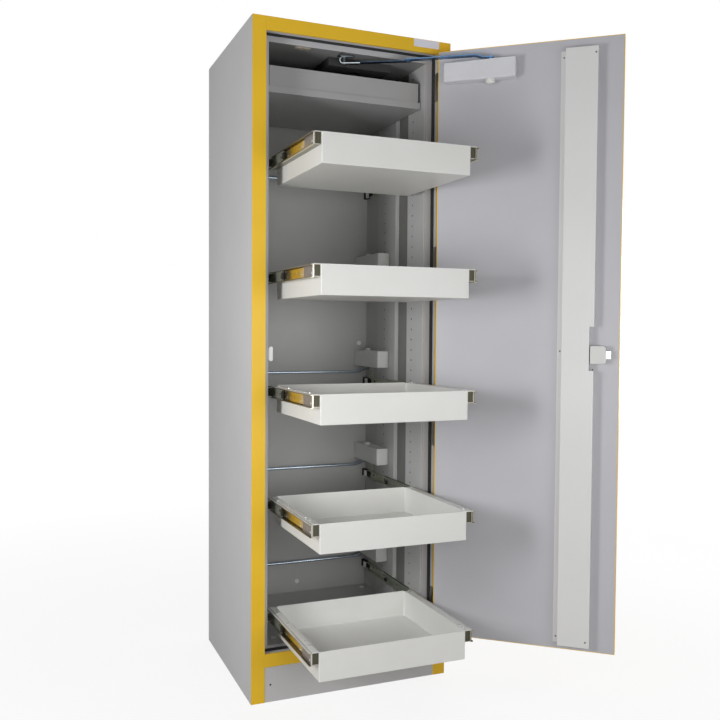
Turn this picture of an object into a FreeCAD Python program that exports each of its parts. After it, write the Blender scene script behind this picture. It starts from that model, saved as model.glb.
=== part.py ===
import FreeCAD, Part
import math
import os

os.makedirs("parts", exist_ok=True)
Vector = FreeCAD.Vector

# Overall size. All lengths are in millimetres.
cabinet_w = 624.0
cabinet_d = 555.0
cabinet_h = 1955.0

# Front frame of folded sheet: two posts, a top rail, a bottom rail and the kick panel below it.
post_w = 40.5
top_rail_h = 38.7
bottom_rail_h = 37.9
plinth_h = 102.6
frame_sheet = 1.5
frame_return = 8.0
plinth_recess = 1.5
plinth_hole_r = 3.0
plinth_hole_x = 58.0
plinth_hole_z = 50.0

# Carcass walls: outer skin, insulating board, inner lining.
skin_t = 1.5
wall_t = 60.0
back_wall_t = 50.0
roof_t = 56.0
floor_t = 46.9
liner_t = 1.2

# Door rebate behind the front frame, its fire seal and the flange of the lining.
rebate_depth = 43.0
rebate_t = 2.0
seal_w = 20.0
seal_t = 1.2
liner_frame_t = 2.0

# Door leaf, its gap to the frame and the angle that it stands open.
door_t = 32.0
door_gap = 3.0
door_gap_low = 4.0
door_skin_t = 1.5
door_edge_t = 1.2
door_lip_w = 3.5
door_lip_t = 1.0
door_panel_t = 1.5
door_open_deg = 139.0

# Hinges: four of them, with a thin leaf on the frame and one on the door edge.
hinge_count = 4
hinge_out = 1.95
hinge_fore = 0.6
hinge_h = 86.0
hinge_first_above_door_low = 89.0
hinge_last_below_door_top = 93.5
hinge_leaf_t = 1.2
hinge_leaf_w = 16.0
hinge_leaf_back = 4.0
hinge_barrel_r = 3.0
hinge_barrel_share = 0.3
hinge_pin_r = 1.5
hinge_pin_gap = 0.3
hinge_link_t = 1.2
hinge_side_gap = 0.5
hinge_notch_gap = 1.4

# Lock rod cover on the inner face of the door, a hat section with one foot.
cover_from_free_edge = 70.0
cover_w = 90.0
cover_h = 30.0
cover_t = 1.2
cover_foot_w = 15.0
cover_above_door_low = 19.5
cover_below_door_top = 34.0
notch_w = 13.0
notch_below_latch = 45.0
notch_above_latch = 80.0

# Latch case in the notch of the cover, with its sliding bolt.
latch_len = 44.0
latch_out = 33.5
latch_h = 51.0
latch_z = 1010.0
latch_deep = 26.0
latch_round = 8.0
bolt_h = 21.6
bolt_t = 8.0
bolt_len = 34.0
bolt_throw = 13.0
bolt_travel = 12.0
bolt_off = 12.0
bolt_gap = 0.5
bolt_nose = 4.0

# Strike on the left jamb.
strike_t = 1.8
strike_back = 10.0
strike_tongue = 12.8
strike_h = 42.0

# Lever handle on the outer face of the door.
plate_w = 36.0
plate_h = 170.0
plate_t = 4.0
plate_round = 10.0
plate_below_lever = 125.0
lever_above_latch = 35.0
lever_hub_r = 9.0
lever_stand = 42.0
lever_len = 118.0
lever_h = 18.0
lever_t = 11.0
lever_round = 4.0
lever_gap = 0.4
keyhole_r = 8.5
keyhole_below = 72.0

# Door closer: body on the door, main arm, fore arm and the shoe under the ceiling.
closer_from_hinge = 23.0
closer_len = 214.0
closer_h = 58.0
closer_below_door_top = 43.3
closer_deep = 36.0
closer_round = 4.0
spindle_from_hinge = 161.0
spindle_off = 20.0
spindle_r = 6.0
spindle_boss_r = 12.0
arm_gap = 0.4
arm_lift = 12.0
arm_t = 5.0
arm_w = 22.0
fore_w = 18.0
fore_drop = 2.0
arm_len = 246.0
arm_slack = 1.5
rivet_r = 7.0
rivet_t = 3.0
cap_r = 13.5
cap_h = 12.0
cap_round = 3.0
shoe_from_hinge = 276.5
shoe_behind_rebate = 33.0
shoe_plate = 40.0
shoe_plate_t = 4.0
shoe_boss_r = 9.0
shoe_pin_r = 4.7
shoe_pin_gap = 0.3
shoe_head_r = 8.0
shoe_head_t = 2.0

# Five drawers on telescopic runners, all pulled out alike.
drawer_count = 5
drawer_h = 79.8
drawer_low_above_floor = 19.0
drawer_top_below_shelf = 189.7
drawer_sheet = 1.2
drawer_kept_behind = 21.0
drawer_closed_behind_rebate = 22.0
drawer_to_back = 52.0
rim_w = 18.4

# Runner cross-section, measured outward from the drawer's side.
slide_gap = 0.6
runner_t = 1.2
runner_depth = 17.4
runner_h = 34.0
runner_flange = 8.0
runner_below_rim = 0.5
runner_end_gap = 3.0
spacer_h = 32.0
spacer_t = 1.5
spacer_to_runner = 0.2
middle_behind_front = 68.5
middle_behind_drawer = 10.5
bumper_t = 8.0
wall_runner_behind_rebate = 9.0
wall_runner_to_back = 50.0
rear_lug_w = 28.0
rear_lug_rise = 26.0
rear_lug_t = 3.0

# Perforated uprights on the side walls.
upright_t = 2.0
upright_behind_frame = 5.0
upright_front_w = 115.0
upright_rear_w = 138.0
upright_to_back = 105.0
upright_hole_r = 3.5
upright_hole_pitch = 33.0
upright_hole_first = 6.0
upright_hole_inset = 81.0

# Closing units behind the drawers, their domed caps and the cross rods.
unit_w = 43.5
unit_plate_w = 39.5
unit_plate_t = 1.5
unit_d = 205.0
unit_h = 56.0
unit_above_rim = 36.0
unit_t = 1.2
unit_cap_r = 10.0
unit_cap_h = 8.0
unit_cap_round = 4.0
unit_cap_behind_front = 128.0
rod_r = 4.8
rod_above_rim = 13.0
rod_crank_rise = 11.0
rod_crank_run = 26.0
rod_from_back = 30.0
rod_right_end = 18.0

# Fixed top shelf and the lift-out tray that stands in it.
shelf_below_ceiling = 133.0
shelf_lip_h = 20.0
shelf_t = 1.5
shelf_side_gap = 2.5
shelf_behind_rebate = 31.0
shelf_to_back = 25.0
shelf_lug_h = 10.0
shelf_lug_w = 12.0
tray_inset = 7.0
tray_front_gap = 1.0
tray_h = 76.0
tray_t = 1.2
tray_floor_gap = 0.4

# Exhaust duct box under the ceiling, vent plate and the collar on the roof.
duct_left_of_middle = 48.0
duct_w = 203.0
duct_behind_rebate = 57.0
duct_to_back = 55.0
duct_h = 25.0
duct_t = 1.2
duct_hole_r = 9.0
duct_hole_count = 6
vent_share = 0.491
vent_w = 54.0
vent_d = 25.0
vent_t = 3.0
vent_behind_frame = 3.0
vent_hole_r = 4.0
vent_hole_count = 3
collar_r = 37.5
collar_t = 1.5
collar_h = 25.0
collar_flange_r = 52.0
collar_from_back = 155.0
collar_gap = 0.3

# Round caps on the lining, levelling feet and the blank name plate.
wall_cap_r = 7.5
wall_cap_t = 3.0
wall_cap_shares = ((0.482, 0.021), (0.942, 0.503))
floor_cap_shares = ((0.944, 0.915), (0.071, 0.111))
foot_r = 18.0
foot_h = 8.0
foot_stem_r = 5.0
foot_inset = 62.0
name_w = 85.0
name_h = 22.5
name_t = 0.8
name_from_right = 39.5
name_below_top = 1.2

overrun = 1.0

# Levels and planes that follow from the sizes above.
open_left = post_w
open_right = cabinet_w - post_w
open_low = plinth_h + bottom_rail_h
open_top = cabinet_h - top_rail_h
floor_z = plinth_h + floor_t
ceiling_z = cabinet_h - roof_t
inner_left = wall_t
inner_right = cabinet_w - wall_t
liner_front = rebate_depth + liner_frame_t
back_y = cabinet_d - back_wall_t
mid_x = cabinet_w / 2
door_left = open_left + door_gap
door_right = open_right - door_gap
door_low = open_low + door_gap_low
door_top = open_top - door_gap
pivot_x = open_right + hinge_out
pivot_y = -hinge_fore
shelf_low_z = ceiling_z - shelf_below_ceiling


def box(x0, x1, y0, y1, z0, z1):
    return Part.makeBox(x1 - x0, y1 - y0, z1 - z0, Vector(x0, y0, z0))


def upright_rod(x, y, z0, z1, radius):
    return Part.makeCylinder(radius, z1 - z0, Vector(x, y, z0))


def level_rod(start, end, radius):
    run = end - start
    return Part.makeCylinder(radius, run.Length, start, run)


def joined(shapes):
    body = shapes[0].fuse(shapes[1:]) if len(shapes) > 1 else shapes[0]
    return body.removeSplitter()


def mirrored(shape):
    return shape.mirror(Vector(mid_x, 0, 0), Vector(1, 0, 0))


def rounded(shape, radius, chosen):
    edges = [e for e in shape.Edges if chosen(e)]
    return shape.makeFillet(radius, edges)


def runs_along(edge, axis):
    direction = edge.tangentAt(edge.FirstParameter)
    return abs(abs(direction.dot(axis)) - 1) < 1e-6


def swing(shape):
    turned = shape.copy()
    turned.rotate(Vector(pivot_x, pivot_y, 0), Vector(0, 0, 1), door_open_deg)
    return turned


def swung_point(x, y):
    turn = math.radians(door_open_deg)
    dx, dy = x - pivot_x, y - pivot_y
    return (pivot_x + dx * math.cos(turn) - dy * math.sin(turn),
            pivot_y + dx * math.sin(turn) + dy * math.cos(turn))


def save(name, shape):
    if isinstance(shape, (list, tuple)):
        shape = Part.makeCompound(list(shape)) if len(shape) > 1 else shape[0]
    placed = shape.copy()
    placed.translate(Vector(-cabinet_w / 2, -cabinet_d / 2, 0))
    placed.exportStep("parts/" + name + ".step")


# Outer skin: two sides, back, roof and the base sheet above the kick space.
side_left = box(0, skin_t, frame_sheet, cabinet_d, 0, cabinet_h)
save("side_panels", [side_left, mirrored(side_left)])
save("back_panel", box(skin_t, cabinet_w - skin_t, cabinet_d - skin_t, cabinet_d, 0, cabinet_h - skin_t))
collar_y = cabinet_d - collar_from_back
collar_hole = upright_rod(mid_x, collar_y, ceiling_z - overrun, cabinet_h + overrun, collar_r + collar_gap)
roof = box(skin_t, cabinet_w - skin_t, frame_sheet, cabinet_d, cabinet_h - skin_t, cabinet_h)
save("top_panel", roof.cut(collar_hole))
base_low = plinth_h
base_top = plinth_h + skin_t
save("base_panel", box(skin_t, cabinet_w - skin_t, frame_return, cabinet_d - skin_t, base_low, base_top))

# Kick panel between the posts, set back, with the small access hole for a levelling foot.
plinth = box(post_w, cabinet_w - post_w, plinth_recess, plinth_recess + frame_sheet, 0, plinth_h)
plinth_hole = Part.makeCylinder(plinth_hole_r, plinth_recess + frame_sheet + overrun,
                                Vector(plinth_hole_x, 0, plinth_hole_z), Vector(0, 1, 0))
save("plinth_panel", plinth.cut(plinth_hole))

# Front posts: face sheet with a short return at the door opening.
post = joined([
    box(0, post_w, 0, frame_sheet, 0, cabinet_h),
    box(post_w - frame_sheet, post_w, frame_sheet, frame_return, plinth_h, cabinet_h - skin_t),
])
save("post_left", post)

# Places of the hinges, spread evenly between the lowest and the highest.
hinge_low_mid = door_low + hinge_first_above_door_low
hinge_high_mid = door_top - hinge_last_below_door_top
hinge_step = (hinge_high_mid - hinge_low_mid) / (hinge_count - 1)
hinge_mids = [hinge_low_mid + i * hinge_step for i in range(hinge_count)]

# The right post is notched around each hinge barrel.
notch_reach = hinge_barrel_r + hinge_notch_gap
right_post = mirrored(post)
for mid in hinge_mids:
    right_post = right_post.cut(box(open_right - overrun, pivot_x + notch_reach, -overrun,
                                    pivot_y + notch_reach, mid - hinge_h / 2 - hinge_side_gap,
                                    mid + hinge_h / 2 + hinge_side_gap))
save("post_right", right_post)

# Top and bottom rails between the posts.
save("rail_top", joined([
    box(open_left, open_right, 0, frame_sheet, open_top, cabinet_h),
    box(open_left, open_right, frame_sheet, frame_return, open_top, open_top + frame_sheet),
]))
save("rail_bottom", joined([
    box(open_left, open_right, 0, frame_sheet, plinth_h, open_low),
    box(open_left, open_right, frame_sheet, frame_return, open_low - frame_sheet, open_low),
]))

# Rebate lining around the opening: two jambs, a head and a sill.
rebate_left = open_left - rebate_t
rebate_right = open_right + rebate_t
jamb = box(rebate_left, open_left, frame_return, rebate_depth, open_low, open_top)
sill = box(rebate_left, rebate_right, frame_return, rebate_depth, open_low - rebate_t, open_low)
head = box(rebate_left, rebate_right, frame_return, rebate_depth, open_top, open_top + rebate_t)
save("rebate_frame", [jamb, mirrored(jamb), sill, head])

# Black fire seal strips on the faces of the rebate, at its inner edge.
seal_fore = rebate_depth - seal_w
seal_side = box(open_left, open_left + seal_t, seal_fore, rebate_depth, open_low + seal_t, open_top - seal_t)
seal_low = box(open_left, open_right, seal_fore, rebate_depth, open_low, open_low + seal_t)
seal_top = box(open_left, open_right, seal_fore, rebate_depth, open_top - seal_t, open_top)
save("fire_seal", [seal_side, mirrored(seal_side), seal_low, seal_top])

# Front flange of the lining, four flat strips behind the rebate.
strip_side = box(rebate_left, inner_left, rebate_depth, liner_front, floor_z, ceiling_z)
strip_low = box(rebate_left, rebate_right, rebate_depth, liner_front, open_low - rebate_t, floor_z)
strip_top = box(rebate_left, rebate_right, rebate_depth, liner_front, ceiling_z, open_top + rebate_t)
save("liner_frame", [strip_side, mirrored(strip_side), strip_low, strip_top])

# Inner lining sheets.
liner_left = box(inner_left - liner_t, inner_left, liner_front, back_y, floor_z, ceiling_z)
save("liner_sides", [liner_left, mirrored(liner_left)])
lining_left = inner_left - liner_t
lining_right = inner_right + liner_t
lining_back = back_y + liner_t
save("liner_back", box(lining_left, lining_right, back_y, lining_back, floor_z, ceiling_z))
ceiling = box(lining_left, lining_right, liner_front, lining_back, ceiling_z, ceiling_z + liner_t)
save("liner_ceiling", ceiling.cut(collar_hole))
save("liner_floor", box(lining_left, lining_right, liner_front, lining_back, floor_z - liner_t, floor_z))

# Insulating boards between skin and lining: left, right, back, roof and floor.
board_top = cabinet_h - skin_t
board_side = box(skin_t, lining_left, liner_front, cabinet_d - skin_t, base_top, board_top)
board_back = box(lining_left, lining_right, lining_back, cabinet_d - skin_t, base_top, board_top)
board_roof = box(lining_left, lining_right, liner_front, lining_back, ceiling_z + liner_t, board_top)
board_roof = board_roof.cut(collar_hole)
board_floor = box(lining_left, lining_right, liner_front, lining_back, base_top, floor_z - liner_t)
save("insulation", [board_side, mirrored(board_side), board_back, board_roof, board_floor])


# Perforated uprights: one hole column in each.
def upright(y0, width):
    plate = box(inner_left, inner_left + upright_t, y0, y0 + width, floor_z, ceiling_z)
    first = floor_z + upright_hole_first
    count = int((ceiling_z - first - upright_hole_r) / upright_hole_pitch) + 1
    holes = [Part.makeCylinder(upright_hole_r, upright_t + overrun,
                               Vector(inner_left, y0 + upright_hole_inset, first + i * upright_hole_pitch),
                               Vector(1, 0, 0)) for i in range(count)]
    return plate.cut(Part.makeCompound(holes))


upright_front_y = liner_front + upright_behind_frame
upright_rear_y = back_y - upright_to_back - upright_rear_w
upright_front = upright(upright_front_y, upright_front_w)
upright_rear = upright(upright_rear_y, upright_rear_w)
save("wall_uprights", [upright_front, mirrored(upright_front), upright_rear, mirrored(upright_rear)])

# Fixed top shelf: a flat tray with low lips, hung on four lugs that reach the uprights.
shelf_left = inner_left + upright_t + shelf_side_gap
shelf_right = cabinet_w - shelf_left
shelf_y = rebate_depth + shelf_behind_rebate
shelf_back = back_y - shelf_to_back
shelf_body = box(shelf_left, shelf_right, shelf_y, shelf_back, shelf_low_z, shelf_low_z + shelf_lip_h)
shelf_body = shelf_body.cut(box(shelf_left + shelf_t, shelf_right - shelf_t, shelf_y + shelf_t,
                                shelf_back - shelf_t, shelf_low_z + shelf_t,
                                shelf_low_z + shelf_lip_h + overrun))
lugs = []
for upright_y in (upright_front_y, upright_rear_y):
    hole_y = upright_y + upright_hole_inset
    lug = box(shelf_left - shelf_side_gap, shelf_left, hole_y - shelf_lug_w / 2, hole_y + shelf_lug_w / 2,
              shelf_low_z, shelf_low_z + shelf_lug_h)
    lugs += [lug, mirrored(lug)]
save("top_shelf", joined([shelf_body] + lugs))

# Lift-out tray that stands in the shelf.
tray_left = shelf_left + tray_inset
tray_right = cabinet_w - tray_left
tray_y = shelf_y + shelf_t + tray_front_gap
tray_back = shelf_back - shelf_t - tray_front_gap
tray_low = shelf_low_z + shelf_t + tray_floor_gap
tray = box(tray_left, tray_right, tray_y, tray_back, tray_low, tray_low + tray_h)
tray = tray.cut(box(tray_left + tray_t, tray_right - tray_t, tray_y + tray_t, tray_back - tray_t,
                    tray_low + tray_t, tray_low + tray_h + overrun))
save("shelf_tray", tray)

# Duct box under the ceiling, open at its top, with intake holes below, and the small vent plate beside it.
duct_x = mid_x - duct_left_of_middle
duct_y = rebate_depth + duct_behind_rebate
duct_d = back_y - duct_to_back - duct_y
duct = box(duct_x, duct_x + duct_w, duct_y, duct_y + duct_d, ceiling_z - duct_h, ceiling_z)
duct = duct.cut(box(duct_x + duct_t, duct_x + duct_w - duct_t, duct_y + duct_t, duct_y + duct_d - duct_t,
                    ceiling_z - duct_h + duct_t, ceiling_z + overrun))
duct_hole_step = duct_d / (duct_hole_count + 1)
for i in range(duct_hole_count):
    duct = duct.cut(upright_rod(duct_x + duct_w / 2, duct_y + duct_hole_step * (i + 1),
                                ceiling_z - duct_h - overrun, ceiling_z - duct_h + duct_t + overrun,
                                duct_hole_r))
shoe_left = door_right - shoe_from_hinge - shoe_plate / 2
vent_x = inner_left + (shoe_left - inner_left) * vent_share - vent_w / 2
vent_y = liner_front + vent_behind_frame
vent = box(vent_x, vent_x + vent_w, vent_y, vent_y + vent_d, ceiling_z - vent_t, ceiling_z)
for i in range(vent_hole_count):
    hole_x = vent_x + vent_w * (i + 1) / (vent_hole_count + 1)
    vent = vent.cut(upright_rod(hole_x, vent_y + vent_d / 2, ceiling_z - vent_t - overrun,
                                ceiling_z + overrun, vent_hole_r))
save("exhaust_duct", [duct, vent])

# Exhaust collar through the roof, with a flange that lies on the top panel.
collar_top = cabinet_h + collar_h
collar_bore = upright_rod(mid_x, collar_y, ceiling_z - overrun, collar_top + overrun, collar_r - collar_t)
save("exhaust_collar", joined([
    upright_rod(mid_x, collar_y, ceiling_z, collar_top, collar_r),
    upright_rod(mid_x, collar_y, cabinet_h, cabinet_h + collar_t, collar_flange_r),
]).cut(collar_bore))

# Strike on the left jamb flange; its tongue reaches into the opening.
save("strike_plate", box(inner_left - strike_back, inner_left + strike_tongue, rebate_depth - strike_t,
                         rebate_depth, latch_z - strike_h / 2, latch_z + strike_h / 2))

# Round caps on the back wall and on the floor of the lining.
inner_w = inner_right - inner_left
inner_h = ceiling_z - floor_z
caps = []
for across, up in wall_cap_shares:
    seat = Vector(inner_left + across * inner_w, back_y - wall_cap_t, floor_z + up * inner_h)
    caps.append(Part.makeCylinder(wall_cap_r, wall_cap_t, seat, Vector(0, 1, 0)))
for across, back in floor_cap_shares:
    cap_y = liner_front + back * (back_y - liner_front)
    caps.append(upright_rod(inner_left + across * inner_w, cap_y, floor_z, floor_z + wall_cap_t, wall_cap_r))
save("wall_caps", caps)

# Levelling feet under the base sheet.
feet = []
for x in (foot_inset, cabinet_w - foot_inset):
    for y in (foot_inset, cabinet_d - foot_inset):
        feet.append(joined([upright_rod(x, y, 0, foot_h, foot_r),
                            upright_rod(x, y, 0, base_low, foot_stem_r)]))
save("levelling_feet", feet)

# Blank name plate on the top rail.
name_right = cabinet_w - name_from_right
save("name_plate", box(name_right - name_w, name_right, -name_t, 0,
                       cabinet_h - name_below_top - name_h, cabinet_h - name_below_top))

# Drawer levels, and the planes of the runners outward from the drawer's side.
wall_out = inner_right - upright_t
runner_in = wall_out - runner_depth
drawer_right = runner_in - spacer_to_runner - rim_w
drawer_left = cabinet_w - drawer_right
drawer_closed_y = rebate_depth + drawer_closed_behind_rebate
drawer_travel = back_y - drawer_to_back - drawer_closed_y - drawer_kept_behind
drawer_fore = drawer_closed_y - drawer_travel
drawer_rear = back_y - drawer_to_back - drawer_travel
drawer_low = floor_z + drawer_low_above_floor
drawer_pitch = (shelf_low_z - drawer_top_below_shelf - drawer_h - drawer_low) / (drawer_count - 1)
drawer_lows = [drawer_low + i * drawer_pitch for i in range(drawer_count)]
runner_out = runner_in + runner_flange
middle_in = runner_in + runner_t + slide_gap
middle_out = runner_out - spacer_to_runner
middle_h = runner_h - 2 * runner_t - 2 * slide_gap
wall_in = middle_in + runner_t + slide_gap
wall_h = middle_h - 2 * runner_t - 2 * slide_gap


def channel(x_web, x_tip, y0, y1, z_mid, height):
    low, high = z_mid - height / 2, z_mid + height / 2
    web_end = x_web + runner_t if x_tip > x_web else x_web - runner_t
    web = box(min(x_web, web_end), max(x_web, web_end), y0, y1, low, high)
    edges = (min(x_web, x_tip), max(x_web, x_tip))
    return joined([web, box(edges[0], edges[1], y0, y1, low, low + runner_t),
                   box(edges[0], edges[1], y0, y1, high - runner_t, high)])


cabinet_runners, units, unit_caps, rods = [], [], [], []
for number, low in enumerate(reversed(drawer_lows), start=1):
    rim = low + drawer_h
    slide_top = rim - drawer_sheet - runner_below_rim
    slide_mid = slide_top - runner_h / 2

    # Drawer box of folded sheet with a wide rim on each side.
    shell = box(drawer_left, drawer_right, drawer_fore, drawer_rear, low, rim)
    shell = shell.cut(box(drawer_left + drawer_sheet, drawer_right - drawer_sheet,
                          drawer_fore + drawer_sheet, drawer_rear - drawer_sheet,
                          low + drawer_sheet, rim + overrun))
    rim_right = box(drawer_right - drawer_sheet, drawer_right + rim_w, drawer_fore + drawer_sheet,
                    drawer_rear, rim - drawer_sheet, rim)
    save("drawer_%d" % number, joined([shell, rim_right, mirrored(rim_right)]))

    # Runner members on the drawer: a hollow spacer and an outward channel on each side.
    slide_fore = drawer_fore + runner_end_gap
    slide_rear = drawer_rear - runner_end_gap
    slide = channel(runner_in, runner_out, slide_fore, slide_rear, slide_mid, runner_h)
    spacer_top = rim - drawer_sheet
    spacer = box(drawer_right, runner_in, slide_fore, slide_rear, spacer_top - spacer_h, spacer_top)
    spacer = spacer.cut(box(drawer_right + spacer_t, runner_in - spacer_t, slide_fore - overrun,
                            slide_rear + overrun, spacer_top - spacer_h + spacer_t, spacer_top - spacer_t))
    save("drawer_runners_%d" % number, [slide, mirrored(slide), spacer, mirrored(spacer)])

    # Middle runner members, each with an end cap that clears the cabinet's member.
    middle_fore = drawer_closed_y + middle_behind_front - drawer_travel / 2
    middle_rear = drawer_rear + drawer_travel / 2 + middle_behind_drawer
    middle = channel(middle_in, middle_out, middle_fore, middle_rear, slide_mid, middle_h)
    bumper = channel(middle_in, middle_out, middle_fore - bumper_t, middle_fore, slide_mid, middle_h)
    save("middle_runners_%d" % number, [middle, mirrored(middle), bumper, mirrored(bumper)])

    # Cabinet runner members on the uprights, with a tall lug at the rear end.
    wall_fore = rebate_depth + wall_runner_behind_rebate
    wall_rear = back_y - wall_runner_to_back
    wall_runner = channel(wall_out, wall_in, wall_fore, wall_rear, slide_mid, wall_h)
    lug = box(wall_out - rear_lug_t, wall_out, wall_rear - rear_lug_w, wall_rear,
              slide_mid - wall_h / 2, rim + rear_lug_rise)
    wall_runner = joined([wall_runner, lug])
    cabinet_runners += [wall_runner, mirrored(wall_runner)]

    # Closing unit at the right, above the runner, with its front plate and domed cap.
    unit_low = rim + unit_above_rim
    unit_right = wall_out
    unit_left = unit_right - unit_w
    unit_fore = back_y - unit_d
    unit = box(unit_left, unit_right, unit_fore, back_y, unit_low, unit_low + unit_h)
    unit = unit.cut(box(unit_left + unit_t, unit_right + overrun, unit_fore + unit_t, back_y + overrun,
                        unit_low + unit_t, unit_low + unit_h - unit_t))
    plate = box(unit_left, unit_left + unit_plate_w, unit_fore - unit_plate_t, unit_fore,
                unit_low, unit_low + unit_h)
    units.append(joined([unit, plate]))
    cap_low, cap_top = unit_low + unit_h, unit_low + unit_h + unit_cap_h
    cap = upright_rod(unit_left + unit_plate_w / 2, unit_fore + unit_cap_behind_front, cap_low, cap_top,
                      unit_cap_r)
    unit_caps.append(rounded(cap, unit_cap_round, lambda e: e.CenterOfMass.z > cap_top - unit_cap_round))

    # Cross rod behind the drawer, cranked up at its right end.
    rod_y = back_y - rod_from_back
    rod_z = rim + rod_above_rim
    crank_end = inner_right - rod_right_end
    corners = [Vector(inner_left, rod_y, rod_z), Vector(crank_end - rod_crank_run, rod_y, rod_z),
               Vector(crank_end, rod_y, rod_z + rod_crank_rise),
               Vector(inner_right, rod_y, rod_z + rod_crank_rise)]
    pieces = [level_rod(a, b, rod_r) for a, b in zip(corners, corners[1:])]
    pieces += [Part.makeSphere(rod_r, corner) for corner in corners[1:-1]]
    rods.append(joined(pieces))

save("cabinet_runners", cabinet_runners)
save("closing_units", units)
save("unit_caps", unit_caps)
save("cross_rods", rods)

# Door leaf, drawn shut and then swung open about the hinge line.
leaf = box(door_left, door_right, 0, door_t, door_low, door_top)
hollow = box(door_left + door_edge_t, door_right - door_edge_t, door_skin_t, door_t - door_lip_t,
             door_low + door_edge_t, door_top - door_edge_t)
window = box(door_left + door_lip_w, door_right - door_lip_w, door_t - door_lip_t - overrun,
             door_t + overrun, door_low + door_lip_w, door_top - door_lip_w)
save("door_skin", swing(leaf.cut(hollow).cut(window)))
panel_back = door_t - door_panel_t
save("door_panel", swing(box(door_left + door_lip_w, door_right - door_lip_w, panel_back, door_t,
                             door_low + door_lip_w, door_top - door_lip_w)))
save("door_insulation", swing(box(door_left + door_edge_t, door_right - door_edge_t, door_skin_t, panel_back,
                                  door_low + door_edge_t, door_top - door_edge_t)))

# Hinges: the frame leaf carries the pin and two barrels, the door leaf the barrel between them.
frame_hinges, door_hinges = [], []
leaf_out = open_right
leaf_in = open_right - hinge_leaf_t
for mid in hinge_mids:
    low, high = mid - hinge_h / 2, mid + hinge_h / 2
    barrel = hinge_h * hinge_barrel_share
    frame_leaf = [box(leaf_in, leaf_out, hinge_leaf_back, hinge_leaf_back + hinge_leaf_w, low, high),
                  upright_rod(pivot_x, pivot_y, low, high, hinge_pin_r)]
    for z0, z1 in ((low, low + barrel), (high - barrel, high)):
        frame_leaf += [box(leaf_in, leaf_out, 0, hinge_leaf_back, z0, z1),
                       upright_rod(pivot_x, pivot_y, z0, z1, hinge_barrel_r)]
    frame_hinges.append(joined(frame_leaf))
    z0, z1 = low + barrel + hinge_side_gap, high - barrel - hinge_side_gap
    link_fore = pivot_y - hinge_barrel_r
    door_leaf = joined([
        box(door_right, door_right + hinge_leaf_t, link_fore, hinge_leaf_back + hinge_leaf_w, low, high),
        box(door_right, pivot_x, link_fore, link_fore + hinge_link_t, z0, z1),
        upright_rod(pivot_x, pivot_y, z0, z1, hinge_barrel_r),
    ]).cut(upright_rod(pivot_x, pivot_y, low, high, hinge_pin_r + hinge_pin_gap))
    door_hinges.append(swing(door_leaf))
save("frame_hinges", frame_hinges)
save("door_hinges", door_hinges)

# Lock rod cover: hat section, open to the door, with a notch at its free side.
cover_left = door_left + cover_from_free_edge
cover_right = cover_left + cover_w
cover_low = door_low + cover_above_door_low
cover_top = door_top - cover_below_door_top
cover_face = door_t + cover_h


def cover_block(inset, reach):
    block = box(cover_left + inset, cover_right - inset, door_t - reach, cover_face - inset,
                cover_low + inset, cover_top - inset)
    return block.cut(box(cover_left - overrun, cover_left + notch_w + inset, door_t - reach - overrun,
                         cover_face + overrun, latch_z - notch_below_latch - inset,
                         latch_z + notch_above_latch + inset))


cover = cover_block(0, 0).cut(cover_block(cover_t, overrun))
foot = box(cover_right, cover_right + cover_foot_w, door_t, door_t + cover_t, cover_low, cover_top)
save("lock_cover", swing(joined([cover, foot])))

# Latch case with a slot for the bolt, rounded at its free end.
latch_left = cover_left - latch_out
latch_right = latch_left + latch_len
latch_mid = (latch_left + latch_right) / 2
latch_low = latch_z - latch_h / 2
case = box(latch_left, latch_right, door_t, door_t + latch_deep, latch_low, latch_low + latch_h)
case = rounded(case, latch_round,
               lambda e: runs_along(e, Vector(0, 1, 0)) and e.CenterOfMass.x < latch_mid)
bolt_y = door_t + bolt_off
bolt_left = latch_left - bolt_throw
bolt_right = bolt_left + bolt_len
bolt_low = latch_z - bolt_h / 2
slot = box(latch_left - overrun, bolt_right + bolt_travel + bolt_gap, bolt_y - bolt_gap,
           bolt_y + bolt_t + bolt_gap, bolt_low - bolt_gap, bolt_low + bolt_h + bolt_gap)
save("latch_case", swing(case.cut(slot)))
bolt_outline = [
    Vector(bolt_left + bolt_nose, bolt_y, bolt_low),
    Vector(bolt_left, bolt_y + bolt_nose, bolt_low),
    Vector(bolt_left, bolt_y + bolt_t, bolt_low),
    Vector(bolt_right, bolt_y + bolt_t, bolt_low),
    Vector(bolt_right, bolt_y, bolt_low),
]
bolt = Part.Face(Part.makePolygon(bolt_outline + [bolt_outline[0]])).extrude(Vector(0, 0, bolt_h))
save("latch_bolt", swing(bolt))

# Handle plate and lever on the outer face.
lever_x = latch_mid
lever_z = latch_z + lever_above_latch
plate = box(lever_x - plate_w / 2, lever_x + plate_w / 2, -plate_t, 0,
            lever_z - plate_below_lever, lever_z - plate_below_lever + plate_h)
plate = rounded(plate, plate_round, lambda e: runs_along(e, Vector(0, 1, 0)))
keyhole = Part.makeCylinder(keyhole_r, plate_t, Vector(lever_x, -plate_t * 3 / 2, lever_z - keyhole_below),
                            Vector(0, 1, 0))
save("handle_plate", swing(joined([plate, keyhole])))
hub_top = -plate_t - lever_gap
hub = Part.makeCylinder(lever_hub_r, lever_stand, Vector(lever_x, hub_top, lever_z), Vector(0, -1, 0))
grip_fore = hub_top - lever_stand
grip = box(lever_x - lever_h / 2, lever_x + lever_len, grip_fore, grip_fore + lever_t,
           lever_z - lever_h / 2, lever_z + lever_h / 2)
grip = rounded(grip, lever_round, lambda e: runs_along(e, Vector(1, 0, 0)))
save("door_handle", swing(joined([hub, grip])))

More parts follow.
